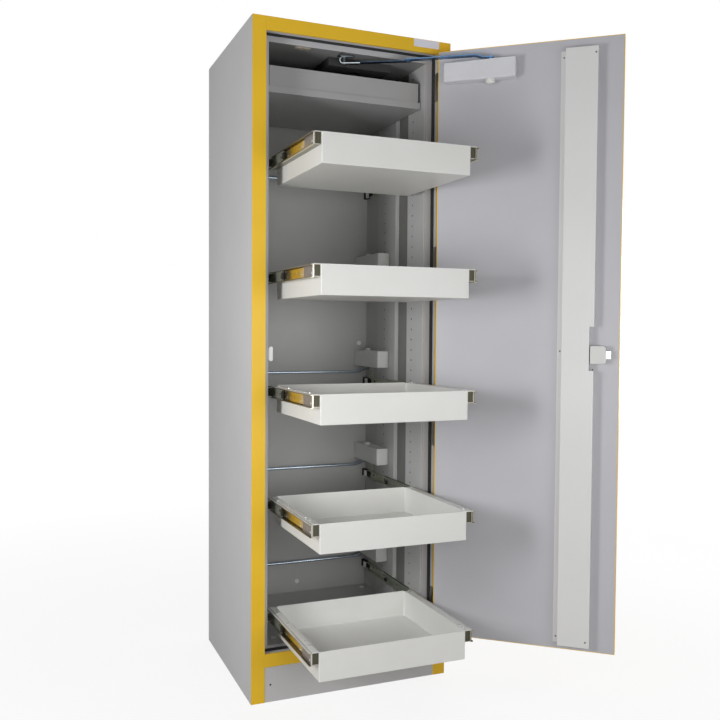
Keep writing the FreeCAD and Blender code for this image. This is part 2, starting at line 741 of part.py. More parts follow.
# Closer body and the round cap under its spindle.
closer_right = door_right - closer_from_hinge
closer_top = door_top - closer_below_door_top
closer_low_z = closer_top - closer_h
closer = box(closer_right - closer_len, closer_right, door_t, door_t + closer_deep, closer_low_z, closer_top)
closer = rounded(closer, closer_round, lambda e: e.CenterOfMass.y > door_t + closer_round)
save("closer_body", swing(closer))
spindle_x = door_right - spindle_from_hinge
spindle_y = door_t + spindle_off
cap = upright_rod(spindle_x, spindle_y, closer_low_z - cap_h, closer_low_z, cap_r)
cap = rounded(cap, cap_round, lambda e: e.CenterOfMass.z < closer_low_z - cap_h / 2 and e.Closed)
save("closer_cap", swing(cap))

# Closer arms: the elbow lies where the two arms meet, on the rear side of the line between their pivots.
spin_x, spin_y = swung_point(spindle_x, spindle_y)
shoe_x = door_right - shoe_from_hinge
shoe_y = rebate_depth + shoe_behind_rebate
reach_x, reach_y = shoe_x - spin_x, shoe_y - spin_y
reach = math.hypot(reach_x, reach_y)
fore_len = reach + arm_slack - arm_len
along = (arm_len ** 2 + reach ** 2 - fore_len ** 2) / (2 * reach)
aside = math.sqrt(arm_len ** 2 - along ** 2)
elbow_x = spin_x + (reach_x * along + reach_y * aside) / reach
elbow_y = spin_y + (reach_y * along - reach_x * aside) / reach
arm_low = closer_top + arm_lift
arm_top = arm_low + arm_t
fore_top = arm_low - fore_drop
fore_low = fore_top - arm_t


def flat_bar(x0, y0, x1, y1, z0, z1, width):
    run = Vector(x1 - x0, y1 - y0, 0)
    side = Vector(-run.y, run.x, 0).normalize() * (width / 2)
    start, end = Vector(x0, y0, z0), Vector(x1, y1, z0)
    corners = [start + side, end + side, end - side, start - side]
    web = Part.Face(Part.makePolygon(corners + [corners[0]])).extrude(Vector(0, 0, z1 - z0))
    return [web, upright_rod(x0, y0, z0, z1, width / 2), upright_rod(x1, y1, z0, z1, width / 2)]


arm = joined(flat_bar(spin_x, spin_y, elbow_x, elbow_y, arm_low, arm_top, arm_w) + [
    upright_rod(spin_x, spin_y, closer_top + arm_gap, arm_low, spindle_r),
    upright_rod(spin_x, spin_y, fore_low, arm_top, spindle_boss_r),
    upright_rod(elbow_x, elbow_y, arm_top, arm_top + rivet_t, rivet_r),
])
save("closer_arm", arm)
fore_arm = joined(flat_bar(shoe_x, shoe_y, elbow_x, elbow_y, fore_low, fore_top, fore_w) + [
    upright_rod(elbow_x, elbow_y, fore_low - rivet_t, fore_low, rivet_r),
]).cut(upright_rod(shoe_x, shoe_y, fore_low - overrun, fore_top + overrun, shoe_pin_r + shoe_pin_gap))
save("closer_forearm", fore_arm)

# Shoe: plate under the ceiling, boss, pin and head that carry the fore arm.
save("closer_shoe", joined([
    box(shoe_x - shoe_plate / 2, shoe_x + shoe_plate / 2, liner_front, liner_front + shoe_plate,
        ceiling_z - shoe_plate_t, ceiling_z),
    upright_rod(shoe_x, shoe_y, fore_top + arm_gap, ceiling_z, shoe_boss_r),
    upright_rod(shoe_x, shoe_y, fore_low - arm_gap - shoe_head_t, ceiling_z, shoe_pin_r),
    upright_rod(shoe_x, shoe_y, fore_low - arm_gap - shoe_head_t, fore_low - arm_gap, shoe_head_r),
]))
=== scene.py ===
import math

import bmesh
import bpy
from mathutils import Matrix, Vector


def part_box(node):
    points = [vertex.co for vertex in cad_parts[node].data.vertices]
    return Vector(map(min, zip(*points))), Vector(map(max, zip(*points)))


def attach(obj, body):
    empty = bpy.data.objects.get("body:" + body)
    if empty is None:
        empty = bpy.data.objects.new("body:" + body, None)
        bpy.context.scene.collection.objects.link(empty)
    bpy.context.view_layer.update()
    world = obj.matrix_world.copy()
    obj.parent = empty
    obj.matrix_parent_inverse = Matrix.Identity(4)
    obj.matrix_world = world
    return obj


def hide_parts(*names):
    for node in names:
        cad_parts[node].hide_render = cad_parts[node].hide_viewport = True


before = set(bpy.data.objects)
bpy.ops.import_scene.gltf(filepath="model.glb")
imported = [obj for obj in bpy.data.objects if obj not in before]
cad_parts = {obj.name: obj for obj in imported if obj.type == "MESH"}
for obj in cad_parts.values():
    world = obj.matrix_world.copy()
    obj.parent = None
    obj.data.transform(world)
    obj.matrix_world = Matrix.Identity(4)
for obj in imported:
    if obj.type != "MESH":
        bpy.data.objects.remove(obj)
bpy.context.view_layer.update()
MM = 0.001

# The camera stands where the photographer stood: to the left of the open front, at half height,
# looking slightly down at the cabinet with its door swung out to the right.
camera_place = Vector((-0.94573, -2.60458, 1.07778))
camera_yaw = -0.3929
camera_pitch = 0.0359
camera_roll = 0.0068
camera_lens = 42.41
camera_sensor = 36.0
camera_data = bpy.data.cameras.new("camera")
camera_data.sensor_width = camera_sensor
camera_data.lens = camera_lens
camera = bpy.data.objects.new("camera", camera_data)
bpy.context.scene.collection.objects.link(camera)
camera_turn = Matrix.Rotation(camera_yaw, 4, "Z") @ Matrix.Rotation(math.pi / 2 - camera_pitch, 4, "X")
camera.matrix_world = Matrix.Translation(camera_place) @ camera_turn @ Matrix.Rotation(camera_roll, 4, "Z")
bpy.context.scene.camera = camera
bpy.context.scene.view_settings.view_transform = "Standard"

# The studio round it: a pale sweep on the floor that fades to white, a white surround and soft lamps.
# Sweep and surround look white to the camera and in gloss, and light the cabinet only dimly.
white = (1, 1, 1, 1)
floor_radius = 9.0
floor_tint = (0.88, 0.88, 0.88, 1)
floor_bounce = (0.50, 0.485, 0.45, 1)
floor_glow = 0.86
floor_fade_start, floor_fade_end = 0.7, 2.6
surround_strength = 0.14


def wired(tree, kind, inputs, **settings):
    made = tree.nodes.new(kind)
    for label, value in settings.items():
        setattr(made, label, value)
    for label, source in inputs.items():
        if isinstance(source, bpy.types.NodeSocket):
            tree.links.new(source, made.inputs[label])
        else:
            made.inputs[label].default_value = source
    return made


def seen_directly(tree):
    path = tree.nodes.new("ShaderNodeLightPath").outputs
    share = wired(tree, "ShaderNodeMath", {0: path["Is Camera Ray"], 1: path["Is Glossy Ray"]},
                  operation="MAXIMUM").outputs[0]
    return wired(tree, "ShaderNodeMath", {0: share, 1: path["Is Transmission Ray"]},
                 operation="MAXIMUM").outputs[0]


def lamp(name, place, aim, size, power):
    data = bpy.data.lights.new(name, "AREA")
    data.shape = "RECTANGLE"
    data.size, data.size_y = size
    data.energy = power
    made = bpy.data.objects.new(name, data)
    bpy.context.scene.collection.objects.link(made)
    made.location = place
    made.rotation_euler = (Vector(aim) - Vector(place)).to_track_quat("-Z", "Y").to_euler()


world = bpy.data.worlds.new("studio")
bpy.context.scene.world = world
world.use_nodes = True
sky_tree = world.node_tree
sky_tree.nodes.clear()
dim_sky = wired(sky_tree, "ShaderNodeBackground", {"Color": white, "Strength": surround_strength})
white_sky = wired(sky_tree, "ShaderNodeBackground", {"Color": white, "Strength": 1.0})
sky = wired(sky_tree, "ShaderNodeMixShader", {
    0: seen_directly(sky_tree), 1: dim_sky.outputs[0], 2: white_sky.outputs[0]})
wired(sky_tree, "ShaderNodeOutputWorld", {0: sky.outputs[0]})

floor_look = bpy.data.materials.new("floor")
floor_look.use_nodes = True
floor_tree = floor_look.node_tree
floor_tree.nodes.clear()
floor_seen = seen_directly(floor_tree)
floor_tone = wired(floor_tree, "ShaderNodeMix", {0: floor_seen, 6: floor_bounce, 7: floor_tint},
                   data_type="RGBA")
floor_paint = wired(floor_tree, "ShaderNodeBsdfDiffuse", {0: floor_tone.outputs[2]})
floor_white = wired(floor_tree, "ShaderNodeEmission", {"Color": white, "Strength": 1.0})
floor_place = floor_tree.nodes.new("ShaderNodeTexCoord").outputs["Object"]
floor_reach = wired(floor_tree, "ShaderNodeVectorMath", {0: floor_place}, operation="LENGTH")
floor_fade = wired(floor_tree, "ShaderNodeMapRange", {
    0: floor_reach.outputs["Value"], "From Min": floor_fade_start, "From Max": floor_fade_end,
    "To Min": floor_glow})
floor_share = wired(floor_tree, "ShaderNodeMath", {0: floor_fade.outputs[0], 1: floor_seen},
                    operation="MULTIPLY")
floor_mix = wired(floor_tree, "ShaderNodeMixShader", {
    0: floor_share.outputs[0], 1: floor_paint.outputs[0], 2: floor_white.outputs[0]})
wired(floor_tree, "ShaderNodeOutputMaterial", {0: floor_mix.outputs[0]})
floor_shape = bmesh.new()
bmesh.ops.create_circle(floor_shape, cap_ends=True, segments=64, radius=floor_radius)
floor_mesh = bpy.data.meshes.new("floor")
floor_shape.to_mesh(floor_mesh)
floor_shape.free()
floor_mesh.materials.append(floor_look)
floor = bpy.data.objects.new("floor", floor_mesh)
bpy.context.scene.collection.objects.link(floor)

lamp("key", place=(-1.99, -1.17, 1.05), aim=(-0.2, -0.3, 1.0), size=(0.45, 0.7), power=15)
lamp("key_near", place=(-1.35, -0.85, 1.1), aim=(-0.3, -0.2, 1.0), size=(0.35, 0.5), power=5)
lamp("front", place=(0.4, -2.75, 0.95), aim=(0.0, -0.4, 0.95), size=(1.8, 0.9), power=17)
lamp("front_near", place=(-0.5, -2.1, 0.9), aim=(0.0, -0.3, 0.95), size=(1.0, 0.6), power=5)
lamp("rear", place=(1.9, 3.2, 1.9), aim=(0.0, 0.2, 1.1), size=(2.6, 2.0), power=50)
lamp("roof", place=(0.0, -0.25, 3.1), aim=(0.0, -0.1, 1.98), size=(1.4, 1.4), power=9)
lamp("right", place=(2.4, 0.6, 1.2), aim=(0.3, 0.0, 1.0), size=(1.2, 1.2), power=22)

# Outer skin: side sheets, back, roof and base of steel, bent at the long edges and powder-coated light
# grey with a fine texture. They are clipped behind the yellow front frame.
skin_paint, skin_shade = (0.554, 0.548, 0.559), (0.520, 0.514, 0.525)


def new_group(name, inputs):
    group = bpy.data.node_groups.new(name, "ShaderNodeTree")
    for label, kind in inputs.items():
        group.interface.new_socket(label, in_out="INPUT", socket_type="NodeSocket" + kind)
    for label, kind in (("Color", "Color"), ("Roughness", "Float"), ("Normal", "Vector")):
        group.interface.new_socket(label, in_out="OUTPUT", socket_type="NodeSocket" + kind)
    return group, group.nodes.new("NodeGroupInput").outputs


def close_group(group, given, share, tones, texture, height):
    tone = wired(group, "ShaderNodeMix", {0: share, 6: given[tones[0]], 7: given[tones[1]]},
                 data_type="RGBA")
    gloss = wired(group, "ShaderNodeMapRange", {
        0: texture, "To Min": given["Gloss Low"], "To Max": given["Gloss High"]})
    relief = wired(group, "ShaderNodeBump", {"Strength": 1.0, "Distance": height, "Height": texture})
    wired(group, "NodeGroupOutput", {
        "Color": tone.outputs[2], "Roughness": gloss.outputs[0], "Normal": relief.outputs[0]})
    return group


def coat_group():
    group, given = new_group("coat_grain", {
        "Paint": "Color", "Shade": "Color", "Cloud Size": "Float", "Grain Size": "Float",
        "Grain Height": "Float", "Gloss Low": "Float", "Gloss High": "Float"})
    place = group.nodes.new("ShaderNodeTexCoord").outputs["Object"]
    cloud = wired(group, "ShaderNodeTexNoise", {
        "Vector": place, "Scale": given["Cloud Size"], "Detail": 4.0, "Roughness": 0.6})
    spread = wired(group, "ShaderNodeMapRange", {0: cloud.outputs[0], "From Min": 0.35, "From Max": 0.65})
    grain = wired(group, "ShaderNodeTexNoise", {
        "Vector": place, "Scale": given["Grain Size"], "Detail": 2.0, "Roughness": 0.5})
    return close_group(group, given, spread.outputs[0], ("Paint", "Shade"), grain.outputs[0],
                       given["Grain Height"])


def finish(name, group, values, metallic=0.0, coat=0.0, specular=0.5):
    look = bpy.data.materials.new(name)
    look.use_nodes = True
    tree = look.node_tree
    shader = tree.nodes["Principled BSDF"]
    shader.inputs["Metallic"].default_value = metallic
    shader.inputs["Coat Weight"].default_value = coat
    shader.inputs["Specular IOR Level"].default_value = specular
    made = wired(tree, "ShaderNodeGroup", {}, node_tree=group)
    for label, value in values.items():
        made.inputs[label].default_value = value
    for source, label in (("Color", "Base Color"), ("Roughness", "Roughness"), ("Normal", "Normal")):
        tree.links.new(made.outputs[source], shader.inputs[label])
    return look


coat_grain = coat_group()


def coated(name, paint, shade, cloud=4.0, grain=500.0, height=0.00003, gloss=(0.30, 0.40), **shader):
    return finish(name, coat_grain, {
        "Paint": paint + (1,), "Shade": shade + (1,), "Cloud Size": cloud, "Grain Size": grain,
        "Grain Height": height, "Gloss Low": gloss[0], "Gloss High": gloss[1]}, **shader)


def dress(look, *names):
    for name in names:
        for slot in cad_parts[name].material_slots:
            slot.material = look


outer_grey = coated("outer_grey", skin_paint, skin_shade, cloud=2.2, grain=650.0, height=0.00005,
                    gloss=(0.42, 0.58))
dress(outer_grey, "side_panels", "back_panel", "top_panel", "base_panel")

# Front frame: posts and rails folded from sheet steel, sprayed in signal yellow with a satin gloss.
# The posts run down beside the kick panel, and the rails are set between them.
signal_yellow = coated("signal_yellow", (0.87, 0.545, 0.026), (0.814, 0.503, 0.023), cloud=3.0, grain=420.0,
                       specular=0.3)
sharp_least = 0.6
rim_least = 1.2
fold_ease = 0.5


def block(shape, low, high):
    size = (Vector(high) - Vector(low)) * MM
    middle = (Vector(high) + Vector(low)) * MM / 2
    place = Matrix.Translation(middle) @ Matrix.Diagonal((size.x, size.y, size.z, 1))
    bmesh.ops.create_cube(shape, size=1.0, matrix=place)


def eased(shape, edges, radius, steps=3):
    bmesh.ops.bevel(shape, geom=list(edges), affect="EDGES", offset=radius * MM, offset_type="OFFSET",
                    segments=steps, profile=0.5, material=-1, clamp_overlap=True)


def cad_copy(name):
    shape = bmesh.new()
    shape.from_mesh(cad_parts[name].data)
    bmesh.ops.remove_doubles(shape, verts=shape.verts, dist=0.00001)
    bmesh.ops.dissolve_limit(shape, angle_limit=0.02, verts=shape.verts, edges=shape.edges)
    return shape


def sharp_edges(shape, least=sharp_least):
    return [edge for edge in shape.edges if edge.is_manifold and edge.calc_face_angle(0.0) > least]


def piece(name, shape, look, body, slot, *stands_for):
    bmesh.ops.recalc_face_normals(shape, faces=shape.faces)
    for face in shape.faces:
        face.smooth = True
    for edge in shape.edges:
        edge.smooth = edge.calc_face_angle(0.0) < sharp_least
    mesh = bpy.data.meshes.new(name)
    shape.to_mesh(mesh)
    shape.free()
    for coat in look if isinstance(look, tuple) else (look,):
        mesh.materials.append(coat)
    made = bpy.data.objects.new(name, mesh)
    bpy.context.scene.collection.objects.link(made)
    even = made.modifiers.new("even_normals", "WEIGHTED_NORMAL")
    even.keep_sharp = True
    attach(made, body)
    if stands_for:
        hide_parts(*stands_for)


def softened(node, name, ease, look, body, slot):
    part = cad_copy(node)
    eased(part, sharp_edges(part), ease, 2)
    piece(name, part, look, body, slot, node)


for part_name in ("post_left", "rail_top", "rail_bottom", "post_right"):
    softened(part_name, part_name + "_folded", fold_ease, signal_yellow, "cabinet", "signal_yellow")

# Kick panel: a plain removable sheet between the posts, set back a little, in the carcass grey.
# Its small hole lets a key through to a levelling foot; the near-black block behind the hole is painted
# shade for the dark space inside.
plinth_hole_x, plinth_hole_z = -254.0, 50.0
plinth_plug_half = 4.5


def eased_block(low, high, radius, steps=2):
    part = bmesh.new()
    block(part, low, high)
    eased(part, part.edges[:], radius, steps)
    return part


plinth_look = coated("plinth_grey", skin_paint, skin_shade, cloud=3.0, grain=650.0, height=0.00004,
                     gloss=(0.42, 0.55))
# Near-black coat used behind holes as painted shade.
hole_shade_look = coated("hole_painted_shade", (0.045, 0.045, 0.043), (0.030, 0.030, 0.028), cloud=30.0, grain=900.0,
                   gloss=(0.7, 0.9), specular=0.2)
dress(plinth_look, "plinth_panel")
plinth_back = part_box("plinth_panel")[1].y / MM
plinth_hole_shade = eased_block(
    (plinth_hole_x - plinth_plug_half, plinth_back - 0.2, plinth_hole_z - plinth_plug_half),
    (plinth_hole_x + plinth_plug_half, plinth_back + 0.8, plinth_hole_z + plinth_plug_half), 0.2, 1)
piece("plinth_hole_painted_shade", plinth_hole_shade, hole_shade_look, "cabinet", "plinth_grey")

# Rebate around the door opening: grey jambs, head and sill, with the flange of the lining behind.
# The black strips on them swell in a fire and seal the gap; they are glued on.
rebate_look = coated("rebate_grey", (0.554, 0.554, 0.576), (0.520, 0.520, 0.542), grain=600.0,
                     gloss=(0.38, 0.50))
seal_look = coated("seal_black", (0.012, 0.012, 0.013), (0.022, 0.022, 0.023), cloud=30.0, grain=900.0,
                   height=0.0001, gloss=(0.60, 0.85))
dress(rebate_look, "rebate_frame", "liner_frame")
dress(seal_look, "fire_seal")

# Inner lining: coated grey sheets on all sides of the storage space, screwed on over insulating boards.
# The ceiling sheet is coated a darker grey than the walls; the darker grey is painted shade under the roof.
lining_look = coated("lining_grey", (0.500, 0.500, 0.495), (0.468, 0.468, 0.463), cloud=3.5,
                     gloss=(0.32, 0.42))
board_look = coated("insulating_board", (0.621, 0.610, 0.565), (0.520, 0.508, 0.463), cloud=30.0,
                    grain=300.0, height=0.0003, gloss=(0.80, 0.95))
ceiling_shade_look = coated("ceiling_painted_shade", (0.265, 0.265, 0.265), (0.240, 0.240, 0.240), cloud=3.5,
                      gloss=(0.40, 0.52), specular=0.3)
dress(lining_look, "liner_sides", "liner_back", "liner_floor")
dress(ceiling_shade_look, "liner_ceiling")
dress(board_look, "insulation")

# Uprights: perforated sheet strips screwed to the side walls, two on each side, coated like the lining.
# The front edge of each rear strip is folded inward, and the fold is notched where the runners pass.
upright_face, upright_back = 250.0, 252.0
upright_front = (-227.5, -112.5)
upright_rear = (-15.5, 122.5)
upright_fold = -46.5
fold_depth = 11.5
fold_sheet = 2.0
upright_hole_inset = 81.0
upright_hole_pitch = 33.0
upright_hole_first = 6.0
upright_hole_radius = 3.5
shade_half = 5.0
drill_length = 12.0
slide_below_rim = 18.7
notch_half = 19.0
drawer_levels = range(1, 6)
rim_heights = {number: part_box("drawer_%d" % number)[1].z / MM for number in drawer_levels}


def merged(shape, part):
    mesh = bpy.data.meshes.new("part")
    part.to_mesh(mesh)
    part.free()
    shape.from_mesh(mesh)
    bpy.data.meshes.remove(mesh)


def pierced(part, drill):
    solids = []
    for label, source in (("sheet", part), ("drill", drill)):
        mesh = bpy.data.meshes.new(label)
        source.to_mesh(mesh)
        source.free()
        solids.append(bpy.data.objects.new(label, mesh))
        bpy.context.scene.collection.objects.link(solids[-1])
    cut = solids[0].modifiers.new("holes", "BOOLEAN")
    cut.operation = "DIFFERENCE"
    cut.solver = "EXACT"
    cut.object = solids[1]
    seen = bpy.context.evaluated_depsgraph_get()
    mesh = bpy.data.meshes.new_from_object(solids[0].evaluated_get(seen))
    result = bmesh.new()
    result.from_mesh(mesh)
    bpy.data.meshes.remove(mesh)
    for solid in solids:
        bpy.data.meshes.remove(solid.data)
    return result


def round_bar(shape, middle, radius, length, segments, turn=Matrix()):
    stand = Matrix.Translation(Vector(middle) * MM) @ turn
    bmesh.ops.create_cone(shape, cap_ends=True, segments=segments, radius1=radius * MM, radius2=radius * MM,
                          depth=length * MM, matrix=stand)


def level_drill(drill, place, radius, depth=drill_length):
    round_bar(drill, place, radius, depth, 20, Matrix.Rotation(math.pi / 2, 4, "Y"))


def on_both_sides(shape, pattern, lift=0.0):
    for side in (-1, 1):
        part = pattern.copy()
        bmesh.ops.scale(part, vec=(side, 1, 1), verts=part.verts)
        bmesh.ops.translate(part, verts=part.verts, vec=(0, 0, lift * MM))
        bmesh.ops.recalc_face_normals(part, faces=part.faces)
        merged(shape, part)


upright_look = coated("upright_grey", (0.554, 0.554, 0.554), (0.520, 0.520, 0.520), gloss=(0.34, 0.45))
# Dark grey coat for the strip of lining between the front and rear uprights: painted shade.
gap_shade_look = coated("gap_painted_shade", (0.200, 0.198, 0.190), (0.160, 0.158, 0.150), gloss=(0.60, 0.80))
upright_low, upright_high = (corner.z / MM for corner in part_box("wall_uprights"))
hole_room = upright_high - upright_low - upright_hole_first - upright_hole_radius
uprights = bmesh.new()
shades = bmesh.new()
for start, end, edge in (upright_front + (upright_front[0],), upright_rear + (upright_fold,)):
    strip = eased_block((upright_face, edge, upright_low), (upright_back, end, upright_high), 0.4, 1)
    drill = bmesh.new()
    for step in range(int(hole_room / upright_hole_pitch) + 1):
        level = upright_low + upright_hole_first + step * upright_hole_pitch
        level_drill(drill, (upright_face, start + upright_hole_inset, level), upright_hole_radius)
    on_both_sides(uprights, pierced(strip, drill))
    # Near-black strips behind each column of holes are painted shade for the dark space behind the sheet.
    on_both_sides(shades, eased_block(
        (upright_back - 0.8, start + upright_hole_inset - shade_half, upright_low + 1.0),
        (upright_back - 0.1, start + upright_hole_inset + shade_half, upright_high - 1.0), 0.1, 1))
fold_ends = [upright_low + 2.0]
for number in reversed(drawer_levels):
    runner_level = rim_heights[number] - slide_below_rim
    fold_ends += [runner_level - notch_half, runner_level + notch_half]
fold_ends += [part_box("top_shelf")[0].z / MM - 3.0]
for low_end, high_end in zip(fold_ends[::2], fold_ends[1::2]):
    on_both_sides(uprights, eased_block(
        (upright_face - fold_depth, upright_fold, low_end),
        (upright_back - 0.3, upright_fold + fold_sheet, high_end), 0.6))
# A dark grey strip laid on the lining between each pair of uprights is painted shade for the gap there.
gap_shade_strips = bmesh.new()
on_both_sides(gap_shade_strips, eased_block((upright_back - 1.0, upright_front[1] + 0.5, upright_low + 1.0),
                                 (upright_back - 0.1, upright_fold - 0.5, upright_high - 1.0), 0.2, 1))
piece("wall_uprights_folded", uprights, upright_look, "cabinet", "lining_grey", "wall_uprights")
piece("upright_hole_painted_shade", shades, hole_shade_look, "cabinet", "lining_grey")
piece("upright_gap_painted_shade", gap_shade_strips, gap_shade_look, "cabinet", "lining_grey")

# Levelling feet inside the base: turned steel with a bright zinc plating, screwed into the base sheet.
# The metal is drawn or rolled, so its fine streaks run along the piece, here and on all plated parts.


def zinc_group():
    group, given = new_group("rolled_metal", {
        "Bright": "Color", "Dull": "Color", "Streak": "Vector", "Relief": "Float",
        "Gloss Low": "Float", "Gloss High": "Float"})
    place = group.nodes.new("ShaderNodeTexCoord").outputs["Object"]
    stretch = wired(group, "ShaderNodeVectorMath", {0: place, 1: given["Streak"]}, operation="MULTIPLY")
    streaks = wired(group, "ShaderNodeTexNoise", {0: stretch.outputs[0], "Scale": 1.0, "Detail": 3.0})
    return close_group(group, given, streaks.outputs[0], ("Bright", "Dull"), streaks.outputs[0],
                       given["Relief"])


rolled_metal = zinc_group()
along_y = (420.0, 9.0, 420.0)
even_streaks = (60.0, 60.0, 60.0)


def plated(name, bright, dull, streak, gloss=(0.20, 0.36), metallic=1.0, relief=0.00001):
    return finish(name, rolled_metal, {
        "Bright": bright + (1,), "Dull": dull + (1,), "Streak": streak, "Relief": relief,
        "Gloss Low": gloss[0], "Gloss High": gloss[1]}, metallic=metallic)


zinc_look = plated("bright_zinc", (0.72, 0.73, 0.72), (0.55, 0.56, 0.55), (420.0, 10.0, 420.0), (0.10, 0.26))
dress(zinc_look, "levelling_feet")

# Name plate and wall caps: the plate on the top rail is left blank, and it is glued on.
# The small caps are white plastic and snap over the fixing holes of the lining.
white_look = coated("white_plastic", (0.814, 0.814, 0.791), (0.768, 0.768, 0.746), cloud=12.0,
                    grain=1200.0, gloss=(0.34, 0.44))
plate_look = plated("blank_plate", (0.80, 0.80, 0.88), (0.74, 0.74, 0.83), (30.0, 900.0, 900.0),
                    (0.30, 0.45), metallic=0.0)
softened("name_plate", "name_plate_eased", 0.3, plate_look, "cabinet", "blank_plate")
dress(white_look, "wall_caps")

# Strike: a white plastic shell on the left jamb that takes the latch bolt.
# A short grey tab beside it carries its screw, and the shell's outline has full round corners.
strike_shell = ((-249.8, -236.2, 984.0), (-237.3, -229.8, 1027.0))
strike_tab = ((-260.0, -236.2, 990.0), (-249.0, -234.6, 1021.0))
strike_corner = 5.6
strike_white = coated("strike_white", (0.95, 0.95, 0.94), (0.92, 0.92, 0.91), cloud=12.0, grain=1200.0,
                      gloss=(0.20, 0.30), coat=0.5)
strike = bmesh.new()
block(strike, strike_shell[0], strike_shell[1])
upright_edges = [e for e in strike.edges if abs((e.verts[0].co - e.verts[1].co).y) > 5 * MM]
eased(strike, upright_edges, strike_corner, 6)
eased(strike, sharp_edges(strike, rim_least), 1.2, 2)
tab = eased_block(strike_tab[0], strike_tab[1], 0.3, 1)
for face in tab.faces:
    face.material_index = 1
merged(strike, tab)
piece("strike_plate_shell", strike, (strike_white, rebate_look), "cabinet", "white_plastic", "strike_plate")

# Top shelf and the lift-out tray in it: folded and welded grey sheet, coated darker than the lining as
# painted shade.
# The tray is loose, so that it can be lifted out and cleaned.
shelf_shade_look = coated("shelf_painted_shade", (0.400, 0.400, 0.405), (0.375, 0.375, 0.380), grain=600.0,
                    gloss=(0.34, 0.45))
softened("top_shelf", "top_shelf_folded", fold_ease, shelf_shade_look, "cabinet", "lining_grey")
softened("shelf_tray", "shelf_tray_folded", fold_ease, shelf_shade_look, "tray", "lining_grey")

# Exhaust: a flat duct box under the ceiling, a small louvred vent plate beside it,
# and a round collar on the roof for the building's exhaust pipe.
vent_low, vent_high = (-169.0, -229.5, 1895.8), (-123.0, -212.0, 1899.0)
vent_reach = -110.0
vent_split = -200.0
vent_foot = 1895.0
vent_louvres = 8
# The duct is coated almost black; part of that darkness is painted shade for the dim space under the
# ceiling.
duct_look = coated("duct_dark", (0.045, 0.045, 0.045), (0.036, 0.036, 0.036), cloud=9.0, grain=300.0,
                   height=0.0002, gloss=(0.60, 0.85), specular=0.3)
vent_look = coated("vent_beige", (0.46, 0.41, 0.34), (0.16, 0.14, 0.12), cloud=130.0, grain=900.0,
                   height=0.0001, gloss=(0.40, 0.60))
duct = cad_copy("exhaust_duct")
vent_faces = [f for f in duct.faces if max(v.co.x for v in f.verts) < vent_reach * MM
              and all(v.co.z > vent_foot * MM and v.co.y < vent_split * MM for v in f.verts)]
bmesh.ops.delete(duct, geom=vent_faces, context="FACES")
eased(duct, sharp_edges(duct), 0.8, 2)
plate = bmesh.new()
block(plate, vent_low, vent_high)
long_edges = [e for e in plate.edges if abs((e.verts[0].co - e.verts[1].co).x) > 10 * MM]
bmesh.ops.subdivide_edges(plate, edges=long_edges, cuts=vent_louvres)
louvres = [f for f in plate.faces if f.normal.z < -0.9]
bmesh.ops.inset_individual(plate, faces=louvres, thickness=1.0 * MM, depth=0.9 * MM)
eased(plate, sharp_edges(plate, rim_least), 0.3, 1)
for face in plate.faces:
    face.material_index = 1
merged(duct, plate)
piece("exhaust_duct_folded", duct, (duct_look, vent_look), "cabinet", "lining_grey", "exhaust_duct")
dress(outer_grey, "exhaust_collar")

# Cabinet members of the runners: channels rolled from zinc-plated strip, one at each end of a drawer
# level, screwed to the uprights. Holes pierce the web, and a tall lug stands at the rear.
runner_sheet = 1.2
member_wall = 250.0
member_tip = 236.2
member_half = 13.4
member_start, member_end = -225.5, 177.5
member_bend = 2.0
member_holes = ((142.0, 0.0, 5.2), (48.0, 0.0, 5.2), (118.0, 1.5, 2.0), (98.0, -1.5, 2.6), (80.0, 1.0, 2.0),
                (-60.0, 0.0, 4.0), (-130.0, 0.0, 4.0), (-204.0, 0.0, 4.0), (162.0, 5.0, 2.4))
member_shade_x = 249.55
lug_rise = 44.7
lug_depth = 28.0
lug_sheet = 3.0


def extruded(shape, edges, run):
    made = bmesh.ops.extrude_edge_only(shape, edges=edges)["geom"]
    corners = [g for g in made if isinstance(g, bmesh.types.BMVert)]
    bmesh.ops.translate(shape, verts=corners, vec=run)
    return corners, made


def rolled(outline, start, end, sheet, bend, facing):
    part = bmesh.new()
    corners = [part.verts.new((x * MM, start * MM, z * MM)) for x, z in outline]
    edges = [part.edges.new(pair) for pair in zip(corners, corners[1:])]
    extruded(part, edges, (0, (end - start) * MM, 0))
    eased(part, [edge for edge in part.edges if len(edge.link_faces) == 2], bend, 4)
    part.normal_update()
    web = max(part.faces, key=lambda face: face.calc_area())
    if web.normal.dot(Vector(facing)) < 0:
        bmesh.ops.reverse_faces(part, faces=part.faces)
    bmesh.ops.solidify(part, geom=part.faces[:], thickness=sheet * MM)
    return part


fixed_look = plated("fixed_member_zinc", (0.60, 0.60, 0.50), (0.40, 0.40, 0.32), along_y, (0.22, 0.36),
                    metallic=0.35)
member = rolled(((member_tip, member_half), (member_wall, member_half), (member_wall, -member_half),
                 (member_tip, -member_half)), member_start, member_end, runner_sheet, member_bend, (1, 0, 0))
drill = bmesh.new()
# Thin black discs behind the web's holes are painted shade for the dark space behind the member.
shade = bmesh.new()
for along, up, radius in member_holes:
    level_drill(drill, (member_wall, along, up), radius)
    level_drill(shade, (member_shade_x, along, up), radius + 0.2, 0.3)
member = pierced(member, drill)
merged(member, eased_block((member_wall - lug_sheet, member_end - lug_depth, -member_half + 2.5),
                           (member_wall, member_end, lug_rise), 0.6))
members = bmesh.new()
member_shades = bmesh.new()
for number in drawer_levels:
    on_both_sides(members, member, rim_heights[number] - slide_below_rim)
    on_both_sides(member_shades, shade, rim_heights[number] - slide_below_rim)
piece("cabinet_runners_rolled", members, fixed_look, "cabinet", "zinc_steel", "cabinet_runners")

